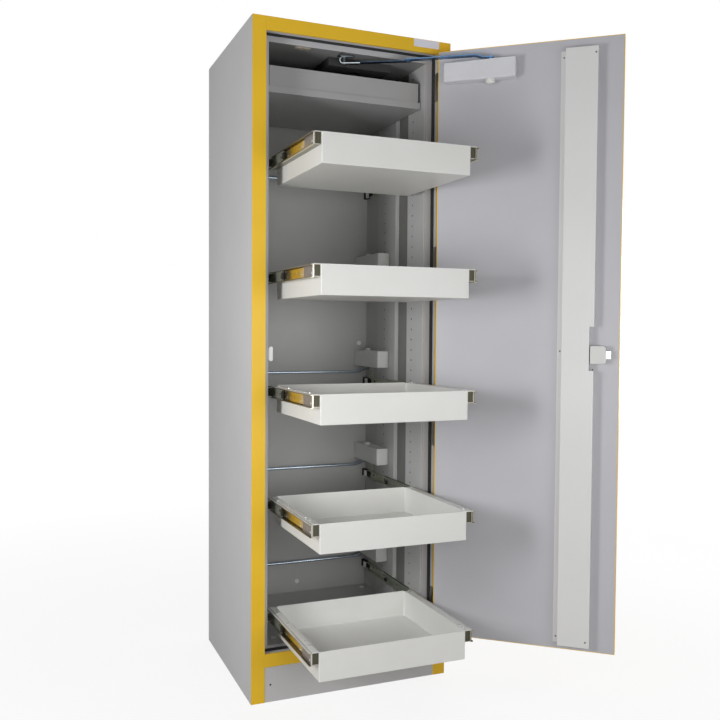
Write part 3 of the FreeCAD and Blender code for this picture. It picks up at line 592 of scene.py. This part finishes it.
# Rear ends of the runners: a black moulded bracket grips each member, and a white catch stands inside it.
# A black plug closes the member's rear hole, and a row of black cage tabs shows along its top edge.
bracket_parts = (((246.8, 172.0, -13.0), (249.8, 226.0, 12.0)), ((238.0, 186.0, 9.6), (249.8, 226.0, 12.6)),
                 ((238.0, 222.0, -13.0), (249.8, 226.0, 12.0)))
bracket_plug = ((239.6, 165.0, -6.0), (248.8, 177.0, 6.0))
catch_part = ((237.5, 198.0, -11.0), (246.0, 207.0, 9.4))
tab_low, tab_high = Vector((241.0, -2.4, 12.6)), Vector((244.4, 2.4, 15.0))
tab_first, tab_pitch, tab_count = 32.0, 9.0, 22
bracket_look = coated("bracket_black", (0.010, 0.010, 0.010), (0.018, 0.018, 0.017), cloud=30.0, grain=900.0,
                      gloss=(0.55, 0.75), specular=0.3)
brackets = bmesh.new()
catches = bmesh.new()
for number in drawer_levels:
    mid = rim_heights[number] - slide_below_rim
    for low, high in bracket_parts:
        on_both_sides(brackets, eased_block(low, high, 1.2, 4), mid)
    on_both_sides(brackets, eased_block(bracket_plug[0], bracket_plug[1], 4.0, 4), mid)
    on_both_sides(catches, eased_block(catch_part[0], catch_part[1], 1.0), mid)
    for step in range(tab_count):
        shift = Vector((0, tab_first - tab_pitch * step, 0))
        on_both_sides(brackets, eased_block(tab_low + shift, tab_high + shift, 0.3, 1), mid)
# The painted-shade discs behind the member holes are joined to the brackets.
merged(brackets, member_shades)
piece("runner_brackets", brackets, bracket_look, "cabinet", "black_plastic")
piece("runner_catches", catches, white_look, "cabinet", "white_plastic")

# Closing units: white moulded boxes with soft edges on the right wall, above the rear of each runner.
# Each has a front plate held by two screws, and a domed cap on its top.
unit_low_x, unit_high_x = 206.5, 250.0
unit_plate_x = 246.0
unit_front, unit_back = 21.0, 227.5
unit_plate_sheet = 3.5
unit_plate_lap = 2.5
unit_plate_back = unit_front + unit_plate_sheet + unit_plate_lap
unit_foot = 36.0
unit_height = 56.0
unit_screws = ((213.5, 46.0), (239.0, 12.0))
unit_screw_radius, unit_screw_rise = 2.6, 0.6
unit_cap_x, unit_cap_y = 226.25, 150.5
unit_cap_radius = 10.0
unit_cap_height = 8.0
unit_cap_dome = 5.2


def screw_head(shape, place, radius, rise, axis=(0, 0, 1)):
    turn = Vector((0, 0, 1)).rotation_difference(Vector(axis)).to_matrix().to_4x4()
    stand = Matrix.Translation(Vector(place) * MM) @ turn @ Matrix.Translation((0, 0, rise * MM / 2))
    made = bmesh.ops.create_cone(shape, cap_ends=True, segments=16, radius1=radius * MM, radius2=radius * MM,
                                 depth=rise * MM, matrix=stand)["verts"]
    up = turn @ Vector((0, 0, 1))
    top = [face for face in {f for v in made for f in v.link_faces} if face.normal.dot(up) > 0.9]
    eased(shape, top[0].edges, rise * 0.45, 2)
    top = [face for face in shape.faces if face.normal.dot(up) > 0.99 and len(face.verts) > 12
           and (face.calc_center_median() - Vector(place) * MM).length < radius * MM]
    bmesh.ops.inset_region(shape, faces=top, thickness=radius * 0.42 * MM)
    bmesh.ops.translate(shape, verts=list({v for f in top for v in f.verts}), vec=up * (-0.5 * rise * MM))


units = bmesh.new()
unit_heads = bmesh.new()
unit_domes = bmesh.new()
for number in drawer_levels:
    foot = rim_heights[number] + unit_foot
    top = foot + unit_height
    merged(units, eased_block((unit_low_x, unit_front + unit_plate_sheet, foot),
                              (unit_high_x, unit_back, top), 2.5, 3))
    merged(units, eased_block((unit_low_x + 0.2, unit_front, foot + 0.2),
                              (unit_plate_x, unit_plate_back, top - 0.2), 1.2, 3))
    for across, up in unit_screws:
        screw_head(unit_heads, (across, unit_front + unit_screw_rise, foot + up), unit_screw_radius,
                   unit_screw_rise, (0, -1, 0))
    round_bar(unit_domes, (unit_cap_x, unit_cap_y, top + unit_cap_height / 2), unit_cap_radius,
              unit_cap_height, 28)
top_rings = [e for e in unit_domes.edges if e.calc_face_angle(0.0) > rim_least
             and any(f.normal.z > 0.9 for f in e.link_faces)]
eased(unit_domes, top_rings, unit_cap_dome, 5)
piece("closing_units_moulded", units, white_look, "cabinet", "white_plastic", "closing_units")
piece("closing_unit_screws", unit_heads, bracket_look, "cabinet", "black_plastic")
piece("unit_caps_domed", unit_domes, white_look, "cabinet", "white_plastic", "unit_caps")

# Cross rods: round bars with a bluish zinc plating that tie both sides together behind the drawers.
# The right end is bent up in a gentle double bend and ends in the wall.
rod_radius = 4.8
rod_depth = 197.5
rod_rise = 15.5
rod_bend_angle = 0.48
rod_bend_radius = 50.0
rod_bend_start = 196.0
rod_wall = 250.0
blue_zinc = plated("blue_zinc", (0.62, 0.72, 0.80), (0.40, 0.50, 0.60), (10.0, 420.0, 420.0), (0.18, 0.34))


def drawn_on(shape, ring, run):
    corners, made = extruded(shape, ring, run)
    return [g for g in made if isinstance(g, bmesh.types.BMEdge) and all(v in corners for v in g.verts)]


def bent_on(shape, ring, middle, angle):
    turned = bmesh.ops.spin(shape, geom=ring, cent=Vector(middle) * MM, axis=(0, 1, 0), angle=angle, steps=5,
                            use_duplicate=False)["geom_last"]
    return [g for g in turned if isinstance(g, bmesh.types.BMEdge)]


bend_reach = rod_bend_radius * math.sin(rod_bend_angle)
bend_climb = rod_bend_radius * (1 - math.cos(rod_bend_angle))
rods = bmesh.new()
for number in drawer_levels:
    rod = bmesh.new()
    level = rim_heights[number] + rod_rise
    rod_end = Matrix.Translation(Vector((-rod_wall, rod_depth, level)) * MM)
    stand = rod_end @ Matrix.Rotation(math.pi / 2, 4, "Y")
    start = bmesh.ops.create_circle(rod, segments=14, radius=rod_radius * MM, matrix=stand)["verts"]
    ring = list({e for v in start for e in v.link_edges})
    ring = drawn_on(rod, ring, ((rod_bend_start + rod_wall) * MM, 0, 0))
    ring = bent_on(rod, ring, (rod_bend_start, rod_depth, level + rod_bend_radius), -rod_bend_angle)
    ring = bent_on(rod, ring, (rod_bend_start + 2 * bend_reach, rod_depth,
                               level + 2 * bend_climb - rod_bend_radius), rod_bend_angle)
    drawn_on(rod, ring, ((rod_wall - rod_bend_start - 2 * bend_reach) * MM, 0, 0))
    bmesh.ops.remove_doubles(rod, verts=rod.verts, dist=0.00001)
    bmesh.ops.holes_fill(rod, edges=[e for e in rod.edges if e.is_boundary], sides=0)
    merged(rods, rod)
piece("cross_rods_bent", rods, blue_zinc, "cabinet", "zinc_steel", "cross_rods")

# Drawers: each one is folded from one white sheet, with welded corners and a flat rim on both sides.
# Screws through the rims hold the runners.
drawer_sheet = 1.2
drawer_rim = 18.4
drawer_corner = 2.4
drawer_rear_corner = 7.0
drawer_fold = 1.8
rim_fold = 1.0
rim_screws_from_front = {-1: (52.0, 85.0, 234.0, 330.0), 1: (30.0, 45.0, 368.0)}
rim_screw_inset = 9.0
rim_screw_radius, rim_screw_rise = 3.4, 1.4
touch = 1e-6
drawer_white = coated("drawer_white", (0.814, 0.814, 0.797), (0.780, 0.780, 0.757), gloss=(0.30, 0.42))


def edges_at(shape, axis, value, open_only=False):
    return [e for e in shape.edges if (e.is_boundary if open_only else e.is_manifold)
            and all(abs(v.co[axis] - value * MM) < touch for v in e.verts)]


def drawer_shape(low, high):
    shape = bmesh.new()
    wall = high.x - drawer_rim
    block(shape, (-wall, low.y, low.z), (wall, high.y, high.z - drawer_sheet))
    lid = [f for f in shape.faces if f.normal.z > 0.9]
    bmesh.ops.delete(shape, geom=lid, context="FACES_ONLY")
    for end, radius in ((low.y, drawer_corner), (high.y, drawer_rear_corner)):
        corners = [e for e in shape.edges if abs((e.verts[0].co - e.verts[1].co).z) > MM
                   and abs(e.verts[0].co.y - end * MM) < touch]
        eased(shape, corners, radius, 5)
    eased(shape, edges_at(shape, 2, low.z), drawer_fold, 3)
    for side in (-1, 1):
        top = edges_at(shape, 0, side * wall, open_only=True)
        for corner in extruded(shape, top, (side * drawer_rim * MM, 0, 0))[0]:
            if corner.co.y < (low.y + 10) * MM:
                corner.co.y = (low.y + drawer_sheet) * MM
            if corner.co.y > (high.y - 10) * MM:
                corner.co.y = high.y * MM
        eased(shape, top, rim_fold, 2)
    for end in (low.y, high.y):
        top = [e for e in edges_at(shape, 1, end, open_only=True)
               if all(abs(v.co.x) < (wall + 0.1) * MM for v in e.verts)]
        extruded(shape, top, (0, 0, drawer_sheet * MM))
    bmesh.ops.recalc_face_normals(shape, faces=shape.faces)
    bottom = min(shape.faces, key=lambda f: f.calc_center_median().z)
    if bottom.normal.z > 0:
        bmesh.ops.reverse_faces(shape, faces=shape.faces)
    bmesh.ops.solidify(shape, geom=shape.faces[:], thickness=drawer_sheet * MM)
    return shape


for number in drawer_levels:
    body = "drawer_%d" % number
    low, high = (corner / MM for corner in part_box(body))
    piece(body + "_folded", drawer_shape(low, high), drawer_white, body, "drawer_white", body)
    heads = bmesh.new()
    for side in (-1, 1):
        for back in rim_screws_from_front[side]:
            screw_head(heads, (side * (high.x - rim_screw_inset), low.y + back, high.z),
                       rim_screw_radius, rim_screw_rise)
    piece(body + "_screws", heads, zinc_look, body, "zinc_steel")

# Drawer members of the runners: rolled channels open to the outside, with a stop bent in at the front end.
# A folded spacer under the rim holds each one to its drawer, and rivets join the two.
slide_in, slide_out = 232.6, 240.6
slide_half = 17.0
slide_lip = 3.1
slide_bend = 1.5
slide_dark_front = 75.5
slide_holes = (118.0, 150.0, 180.0, 250.0, 300.0)
slide_hole_radius = 2.4
track_depth = 5.2
stop_half, stop_sheet = 16.4, 1.6
spacer_in = 214.0
spacer_height = 32.0
spacer_sheet = 1.5
spacer_bend = 1.8
spacer_recess = 2.5
plug_sheet = 2.0
rivet_places = (14.0, 92.0, 214.0, 340.0)
rivet_radius, rivet_rise = 3.4, 0.4
rivet_drop = 5.0
runner_look = plated("runner_zinc", (0.62, 0.56, 0.38), (0.45, 0.40, 0.26), along_y, (0.10, 0.22))
# Dark zinc for small screws, also used on the runners as painted shade.
dark_zinc_shade_look = plated("dark_zinc_painted_shade", (0.20, 0.185, 0.12), (0.09, 0.082, 0.05), along_y)
spacer_look = plated("spacer_zinc", (0.40, 0.39, 0.34), (0.30, 0.29, 0.25), (60.0, 9.0, 60.0), (0.34, 0.50))
dark_front_look = plated("dark_front_zinc", (0.25, 0.21, 0.18), (0.15, 0.125, 0.105), (90.0, 60.0, 90.0), (0.35, 0.50),
                    metallic=0.3)
top_highlight_look = coated("painted_top_highlight", (0.72, 0.72, 0.71), (0.62, 0.62, 0.61), cloud=30.0, grain=700.0,
                   gloss=(0.30, 0.45))
pocket_shade_look = plated("spacer_pocket_painted_shade", (0.085, 0.078, 0.048), (0.035, 0.032, 0.02), (900.0, 60.0, 20.0),
                     (0.40, 0.60), metallic=0.4, relief=0.00002)
for number in drawer_levels:
    low, high = (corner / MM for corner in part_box("drawer_runners_%d" % number))
    body = "drawer_%d" % number
    mid = rim_heights[number] - slide_below_rim
    front, back = low.y, high.y
    slide = rolled(((slide_out, slide_half - slide_lip), (slide_out, slide_half), (slide_in, slide_half),
                    (slide_in, -slide_half), (slide_out, -slide_half), (slide_out, -slide_half + slide_lip)),
                   front, back, runner_sheet, slide_bend, (-1, 0, 0))
    drill = bmesh.new()
    for along in slide_holes:
        level_drill(drill, (slide_in, front + along, 0.0), slide_hole_radius, 8.0)
    slide = pierced(slide, drill)
    bmesh.ops.bisect_plane(slide, geom=slide.verts[:] + slide.edges[:] + slide.faces[:],
                           plane_co=(0, (front + slide_dark_front) * MM, 0), plane_no=(0, 1, 0))
    for face in slide.faces:
        centre = face.calc_center_median() / MM
        # A band of the web just inside each lip takes the dark material as painted shade under the lip.
        outward = centre.x > slide_in + 0.9
        if outward and slide_half - track_depth < abs(centre.z) < slide_half - 1.0:
            face.material_index = 1
        # The front length of the web takes a darker brown zinc.
        elif outward and centre.y < front + slide_dark_front and abs(centre.z) < slide_half - 2.0:
            face.material_index = 2
        # The top faces of each slide are coated pale grey as a painted highlight.
        elif centre.z > slide_half - 0.3:
            face.material_index = 3
    slides = bmesh.new()
    on_both_sides(slides, slide, mid)
    piece(body + "_slides", slides, (runner_look, dark_zinc_shade_look, dark_front_look, top_highlight_look), body, "zinc_steel",
          "drawer_runners_%d" % number)

    stops = bmesh.new()
    on_both_sides(stops, eased_block((slide_in + 0.2, front, -stop_half),
                                     (slide_in + slide_lip, front + stop_sheet, stop_half), 0.5), mid)
    # The stops on the right side take the dark material as painted shade; the left ones stay bright zinc.
    for face in stops.faces:
        face.material_index = int(face.calc_center_median().x > 0)
    piece(body + "_slide_stops", stops, (zinc_look, dark_zinc_shade_look), body, "zinc_steel")

    top = rim_heights[number] - drawer_sheet
    foot = top - spacer_height
    spacer = rolled(((slide_in - 0.1, foot), (spacer_in, foot), (spacer_in, top), (slide_in - 0.1, top)),
                    front, back, spacer_sheet, spacer_bend, (-1, 0, 0))
    merged(spacer, eased_block((slide_in - 1.3, front, foot + 1.6),
                               (slide_in - 0.1, back, top - 1.6), 0.3, 1))
    spacers = bmesh.new()
    on_both_sides(spacers, spacer)
    piece(body + "_spacers", spacers, spacer_look, body, "zinc_steel")

    rivets = bmesh.new()
    for side in (-1, 1):
        for along in rivet_places:
            screw_head(rivets, (side * (slide_in + runner_sheet), front + along, mid - rivet_drop),
                       rivet_radius, rivet_rise, (side, 0, 0))
    piece(body + "_slide_rivets", rivets, zinc_look, body, "zinc_steel")

    # The recessed end plates of each spacer are a much darker zinc than the spacer: painted shade for the
    # recess.
    pockets = bmesh.new()
    for end in (front + spacer_recess, back - spacer_recess - plug_sheet):
        on_both_sides(pockets, eased_block((spacer_in + spacer_sheet, end, foot + spacer_sheet),
                                           (slide_in - 1.5, end + plug_sheet, top - spacer_sheet), 0.4, 1))
    piece(body + "_spacer_ends", pockets, pocket_shade_look, body, "zinc_steel")

# Middle members of the runners: narrower channels that run between the other two.
# A black rubber buffer closes the front end, and bright hooks beside it hold the ball cage.
middle_in, middle_out = 234.4, 238.8
middle_half = 15.2
middle_bend = 1.6
middle_inset = 4.0
middle_holes = ((36.0, 4.6), (64.0, 2.2), (120.0, 4.6), (200.0, 4.6), (290.0, 3.0))
buffer_parts = (((middle_in, 0.0, 0.2 - middle_half), (235.8, 5.5, middle_half - 0.2), 0.6, 3),
                ((middle_in + 0.8, 0.0, -9.5), (middle_out + 1.6, 13.0, 9.5), 1.6, 3),
                ((middle_in + 0.8, 0.0, -middle_half), (middle_out + 0.9, 5.5, 1.2 - middle_half), 0.4, 2),
                ((middle_in + 0.8, 0.0, middle_half - 1.2), (middle_out + 0.9, 5.5, middle_half), 0.4, 2))
rear_plug = ((middle_in - 7.0, -11.0, -6.5), (middle_in + 2.0, 0.0, 6.5), 3.2, 4)
hook_parts = (((middle_in + 1.2, 6.0, 9.7), (middle_out + 1.8, 14.0, 11.5), 0.8, 3),
              ((middle_in + 1.2, 6.0, -11.5), (middle_out + 1.8, 14.0, -9.7), 0.8, 3),
              ((middle_out - 0.6, 15.0, -4.0), (middle_out + 0.6, 21.0, 4.0), 0.5, 2),
              ((middle_in + 1.2, 15.0, -3.0), (middle_out + 0.6, 16.6, 3.0), 0.5, 2))
member_look = plated("member_zinc", (0.33, 0.35, 0.29), (0.18, 0.19, 0.15), along_y, (0.22, 0.36),
                     metallic=0.45)
for number in drawer_levels:
    low, high = (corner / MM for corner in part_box("middle_runners_%d" % number))
    body = "middle_runner_%d" % number
    mid = rim_heights[number] - slide_below_rim
    pattern = rolled(((middle_out, middle_half), (middle_in, middle_half), (middle_in, -middle_half),
                      (middle_out, -middle_half)), low.y + middle_inset, high.y, runner_sheet, middle_bend,
                     (-1, 0, 0))
    drill = bmesh.new()
    for along, radius in middle_holes:
        level_drill(drill, (middle_in, low.y + along, 0.0), radius, 8.0)
    middles = bmesh.new()
    on_both_sides(middles, pierced(pattern, drill), mid)
    piece(body + "_rolled", middles, member_look, body, "zinc_steel", "middle_runners_%d" % number)
    for label, look, slot, parts in (("_buffers", bracket_look, "black_plastic", buffer_parts),
                                     ("_hooks", zinc_look, "zinc_steel", hook_parts)):
        ends = bmesh.new()
        for near, far, ease, steps in parts:
            start = Vector((0, low.y, 0))
            merged(ends, eased_block(Vector(near) + start, Vector(far) + start, ease, steps))
        if parts == buffer_parts:
            near, far, ease, steps = rear_plug
            start = Vector((0, high.y, 0))
            merged(ends, eased_block(Vector(near) + start, Vector(far) + start, ease, steps))
        both_ends = bmesh.new()
        on_both_sides(both_ends, ends, mid)
        piece(body + label, both_ends, look, body, slot)

# Door hinges: a leaf on the frame with a pin and two barrels, and a leaf on the door with the barrel
# between them. Both are stamped steel, zinc-plated and greased.
hinge_look = plated("hinge_zinc", (0.40, 0.37, 0.30), (0.24, 0.22, 0.17), (200.0, 200.0, 12.0), (0.22, 0.38))
dress(hinge_look, "frame_hinges", "door_hinges")

# Door: a yellow outer pan with its edges folded round, and a grey inner panel let into it over board.
# The panel's sheet laps the pan's edge. It is drawn shut, then swung open about the hinge line.
hinge_line = Vector((0.27345, -0.2781, 0.0))
door_swing = math.radians(139.0)
opened = (Matrix.Translation(hinge_line) @ Matrix.Rotation(door_swing, 4, "Z")
          @ Matrix.Translation(-hinge_line))
door_edge = 268.5
door_face = -245.5
panel_half_width = 266.5
panel_low, panel_top = 146.4, 1911.4
panel_sheet = 0.5
door_look = coated("door_grey", (0.520, 0.520, 0.556), (0.492, 0.492, 0.528), cloud=2.5, grain=600.0,
                   gloss=(0.34, 0.46))


def swung(shape):
    bmesh.ops.transform(shape, matrix=opened, verts=shape.verts)
    return shape


dress(board_look, "door_insulation")
softened("door_skin", "door_skin_folded", 0.6, signal_yellow, "door", "signal_yellow")
panel = cad_copy("door_panel")
eased(panel, sharp_edges(panel), fold_ease, 2)
merged(panel, swung(eased_block((-panel_half_width, door_face, panel_low),
                                (panel_half_width, door_face + panel_sheet, panel_top), 0.2, 1)))
piece("door_panel_folded", panel, door_look, "door", "door_grey", "door_panel")

# Lock cover: a long hat section of coated sheet over the lock rods, with a notch round the latch.
# Small screws hold it to the panel through its side flange and its face, and a plug fills a spare hole.
cover_face = -215.5
flange_face = -244.3
cover_screws = ((460.6, 1861.0, cover_face, 2.6), (455.9, 181.0, cover_face, 2.6),
                (370.0, 1861.0, flange_face, 2.4), (370.0, 1019.0, flange_face, 2.4),
                (370.0, 181.0, flange_face, 2.4))
cover_screw_rise = 1.0
cover_plug_place, cover_plug_radius, cover_plug_rise = (464.6, 967.5), 2.2, 0.8
cover_look = coated("cover_grey", (0.735, 0.735, 0.735), (0.705, 0.705, 0.705), cloud=3.0, grain=600.0,
                    gloss=(0.32, 0.44))
black_look = coated("black_plastic", (0.015, 0.015, 0.016), (0.022, 0.022, 0.024), cloud=10.0, grain=1100.0,
                    gloss=(0.36, 0.50))
softened("lock_cover", "lock_cover_folded", 0.55, cover_look, "door", "outer_grey")
cover_heads = bmesh.new()
for across, up, face_y, radius in cover_screws:
    screw_head(cover_heads, (door_edge - across, face_y, up), radius, cover_screw_rise, (0, 1, 0))
piece("cover_screws", swung(cover_heads), dark_zinc_shade_look, "door", "zinc_steel")
plug = bmesh.new()
screw_head(plug, (door_edge - cover_plug_place[0], cover_face, cover_plug_place[1]), cover_plug_radius,
           cover_plug_rise, (0, 1, 0))
piece("cover_plug", swung(plug), black_look, "door", "black_plastic")

# Latch: a white moulded case in the notch of the cover, with a steel bolt that slides out of its end.
# The case is screwed to the panel.
latch_look = coated("latch_white", (0.66, 0.66, 0.65), (0.63, 0.63, 0.62), cloud=12.0, grain=1200.0,
                    height=0.00001)
softened("latch_case", "latch_case_eased", 1.2, latch_look, "door", "white_plastic")
softened("latch_bolt", "latch_bolt_eased", 0.5, zinc_look, "bolt", "zinc_steel")

# Handle on the outer face: a black plate and a plated lever, both with softened edges.
# Neither is in the photographer's view, so they are plain.
softened("handle_plate", "handle_plate_eased", 1.0, black_look, "door", "black_plastic")
softened("door_handle", "door_handle_eased", 0.8, zinc_look, "handle", "zinc_steel")

# Door closer: a moulded and coated body screwed to the panel, with a domed cap under its spindle.
# The spindle turns the main arm above it.
closer_from_edge = 23.0
closer_length = 214.0
closer_low, closer_top = 1812.0, 1870.0
closer_depth = 36.0
closer_corner = 5.0
closer_screw_along, closer_screw_up = 84.0, 1845.0
closer_screw_radius, closer_screw_rise = 2.2, 0.3
closer_cap_radius = 13.5
closer_cap_height = 12.0
closer_cap_dome = 7.0
spindle_place = Vector((364.2, -426.7, 0.0))


def raised_to(place, height):
    return place + Vector((0, 0, height))


closer_look = coated("closer_coat", (0.690, 0.695, 0.730), (0.660, 0.665, 0.700), cloud=12.0, grain=900.0,
                     gloss=(0.30, 0.42))
closer_end = door_edge - closer_from_edge
closer = eased_block((closer_end - closer_length, door_face, closer_low),
                     (closer_end, door_face + closer_depth, closer_top), closer_corner, 5)
piece("closer_body_moulded", swung(closer), closer_look, "door", "outer_grey", "closer_body")
set_screw = bmesh.new()
screw_head(set_screw, (closer_end - closer_screw_along, door_face + closer_depth - closer_screw_rise,
                       closer_screw_up), closer_screw_radius, closer_screw_rise, (0, 1, 0))
piece("closer_set_screw", swung(set_screw), dark_zinc_shade_look, "door", "zinc_steel")
closer_cap = bmesh.new()
round_bar(closer_cap, raised_to(spindle_place, closer_low - closer_cap_height / 2), closer_cap_radius,
          closer_cap_height, 36)
cap_rim = [e for e in closer_cap.edges if e.calc_face_angle(0.0) > rim_least
           and any(f.normal.z < -0.9 for f in e.link_faces)]
eased(closer_cap, cap_rim, closer_cap_dome, 6)
piece("closer_cap_domed", closer_cap, white_look, "door", "white_plastic", "closer_cap")

# Closer arms: two flat steel bars, blue zinc-plated, riveted together at the elbow.
# The main arm is cranked up from the spindle, and the fore arm ends in a bright fork round the shoe's pin.
elbow_place = Vector((163.5, -284.3, 0.0))
shoe_place = Vector((-8.0, -201.5, 0.0))
arm_sheet = 3.0
arm_bend = 5.0
arm_width = 22.0
forearm_width = 18.0
spindle_top = 1877.5
elbow_top = 1886.0
forearm_low = 1879.4
fork_sheet = 2.4
fork_bend = 3.0


def flat_bar(start, end, width, outline):
    run = end - start
    part = rolled(outline, -width / 2, width / 2, arm_sheet, arm_bend, (0, 0, 1))
    tips = [e for e in part.edges if abs((e.verts[0].co - e.verts[1].co).z) > 0.5 * arm_sheet * MM
            and abs(abs(e.verts[0].co.y) - width / 2 * MM) < touch
            and (min(v.co.x for v in e.verts) < (outline[0][0] + 1) * MM
                 or max(v.co.x for v in e.verts) > (outline[-1][0] - 1) * MM)]
    eased(part, tips, width * 0.48, 6)
    turn = Matrix.Translation(start * MM) @ Matrix.Rotation(math.atan2(run.y, run.x), 4, "Z")
    bmesh.ops.transform(part, matrix=turn, verts=part.verts)
    return part


arm_look = plated("arm_blue_zinc", (0.18, 0.33, 0.55), (0.06, 0.13, 0.26), even_streaks)
fore_look = plated("fore_arm_dark", (0.07, 0.12, 0.20), (0.03, 0.05, 0.085), even_streaks)
fork_look = plated("fork_zinc", (0.80, 0.88, 0.92), (0.55, 0.64, 0.70), even_streaks)
main_length = (elbow_place - spindle_place).length
main_arm = flat_bar(spindle_place, elbow_place, arm_width, (
    (-11.0, spindle_top), (16.0, spindle_top), (44.0, elbow_top), (main_length + 11.0, elbow_top)))
screw_head(main_arm, raised_to(spindle_place, spindle_top), 7.0, 3.0)
screw_head(main_arm, raised_to(elbow_place, elbow_top), 6.5, 2.4)
round_bar(main_arm, raised_to(spindle_place, spindle_top - 5.0), 6.0, 4.0, 24)
piece("main_arm_bar", main_arm, arm_look, "main_arm", "zinc_steel", "closer_arm")
fore_run = shoe_place - elbow_place
fore_length = fore_run.length
fork_start = fore_length - 34.0
fore_arm = flat_bar(elbow_place, shoe_place, forearm_width, (
    (-9.0, forearm_low + 3.0), (16.0, forearm_low + 3.0), (40.0, forearm_low + 2.0),
    (fork_start, forearm_low - 0.4)))
screw_head(fore_arm, raised_to(elbow_place, forearm_low), 6.0, 2.0, (0, 0, -1))
fork = rolled(((fork_start + 6.0, 1894.0), (fore_length + 7.0, 1892.5), (fore_length + 12.0, 1885.0),
               (fore_length + 7.0, 1876.6), (fork_start - 14.0, 1876.6)), -forearm_width / 2,
              forearm_width / 2, fork_sheet, fork_bend, (-1, 0, 0))
bmesh.ops.transform(fork, verts=fork.verts, matrix=Matrix.Translation(elbow_place * MM)
                    @ Matrix.Rotation(math.atan2(fore_run.y, fore_run.x), 4, "Z"))
for face in fork.faces:
    face.material_index = 1
merged(fore_arm, fork)
piece("fore_arm_bar", fore_arm, (fore_look, fork_look), "fore_arm", "zinc_steel", "closer_forearm")

# Shoe of the closer: a steel plate screwed under the head of the frame, with a pin for the fore arm's fork.
# A flat head below keeps the fork on the pin.
shoe_plate_sheet = 4.0
shoe_pin_radius, shoe_pin_length, shoe_pin_drop = 4.7, 25.0, 14.5
shoe_head_radius, shoe_head_rise, shoe_head_drop = 6.5, 1.6, 26.0
# The shoe is coated near-black as painted shade under the head of the frame.
shoe_shade_look = plated("shoe_painted_shade", (0.12, 0.125, 0.13), (0.06, 0.062, 0.066), even_streaks, (0.30, 0.50),
                   metallic=0.8)
shoe_low, shoe_high = (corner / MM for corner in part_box("closer_shoe"))
shoe = eased_block((shoe_low.x, shoe_low.y, shoe_high.z - shoe_plate_sheet), shoe_high, 1.0, 2)
round_bar(shoe, raised_to(shoe_place, shoe_high.z - shoe_pin_drop), shoe_pin_radius, shoe_pin_length, 24)
screw_head(shoe, raised_to(shoe_place, shoe_high.z - shoe_head_drop), shoe_head_radius, shoe_head_rise,
           (0, 0, -1))
piece("closer_shoe_eased", shoe, shoe_shade_look, "cabinet", "zinc_steel", "closer_shoe")
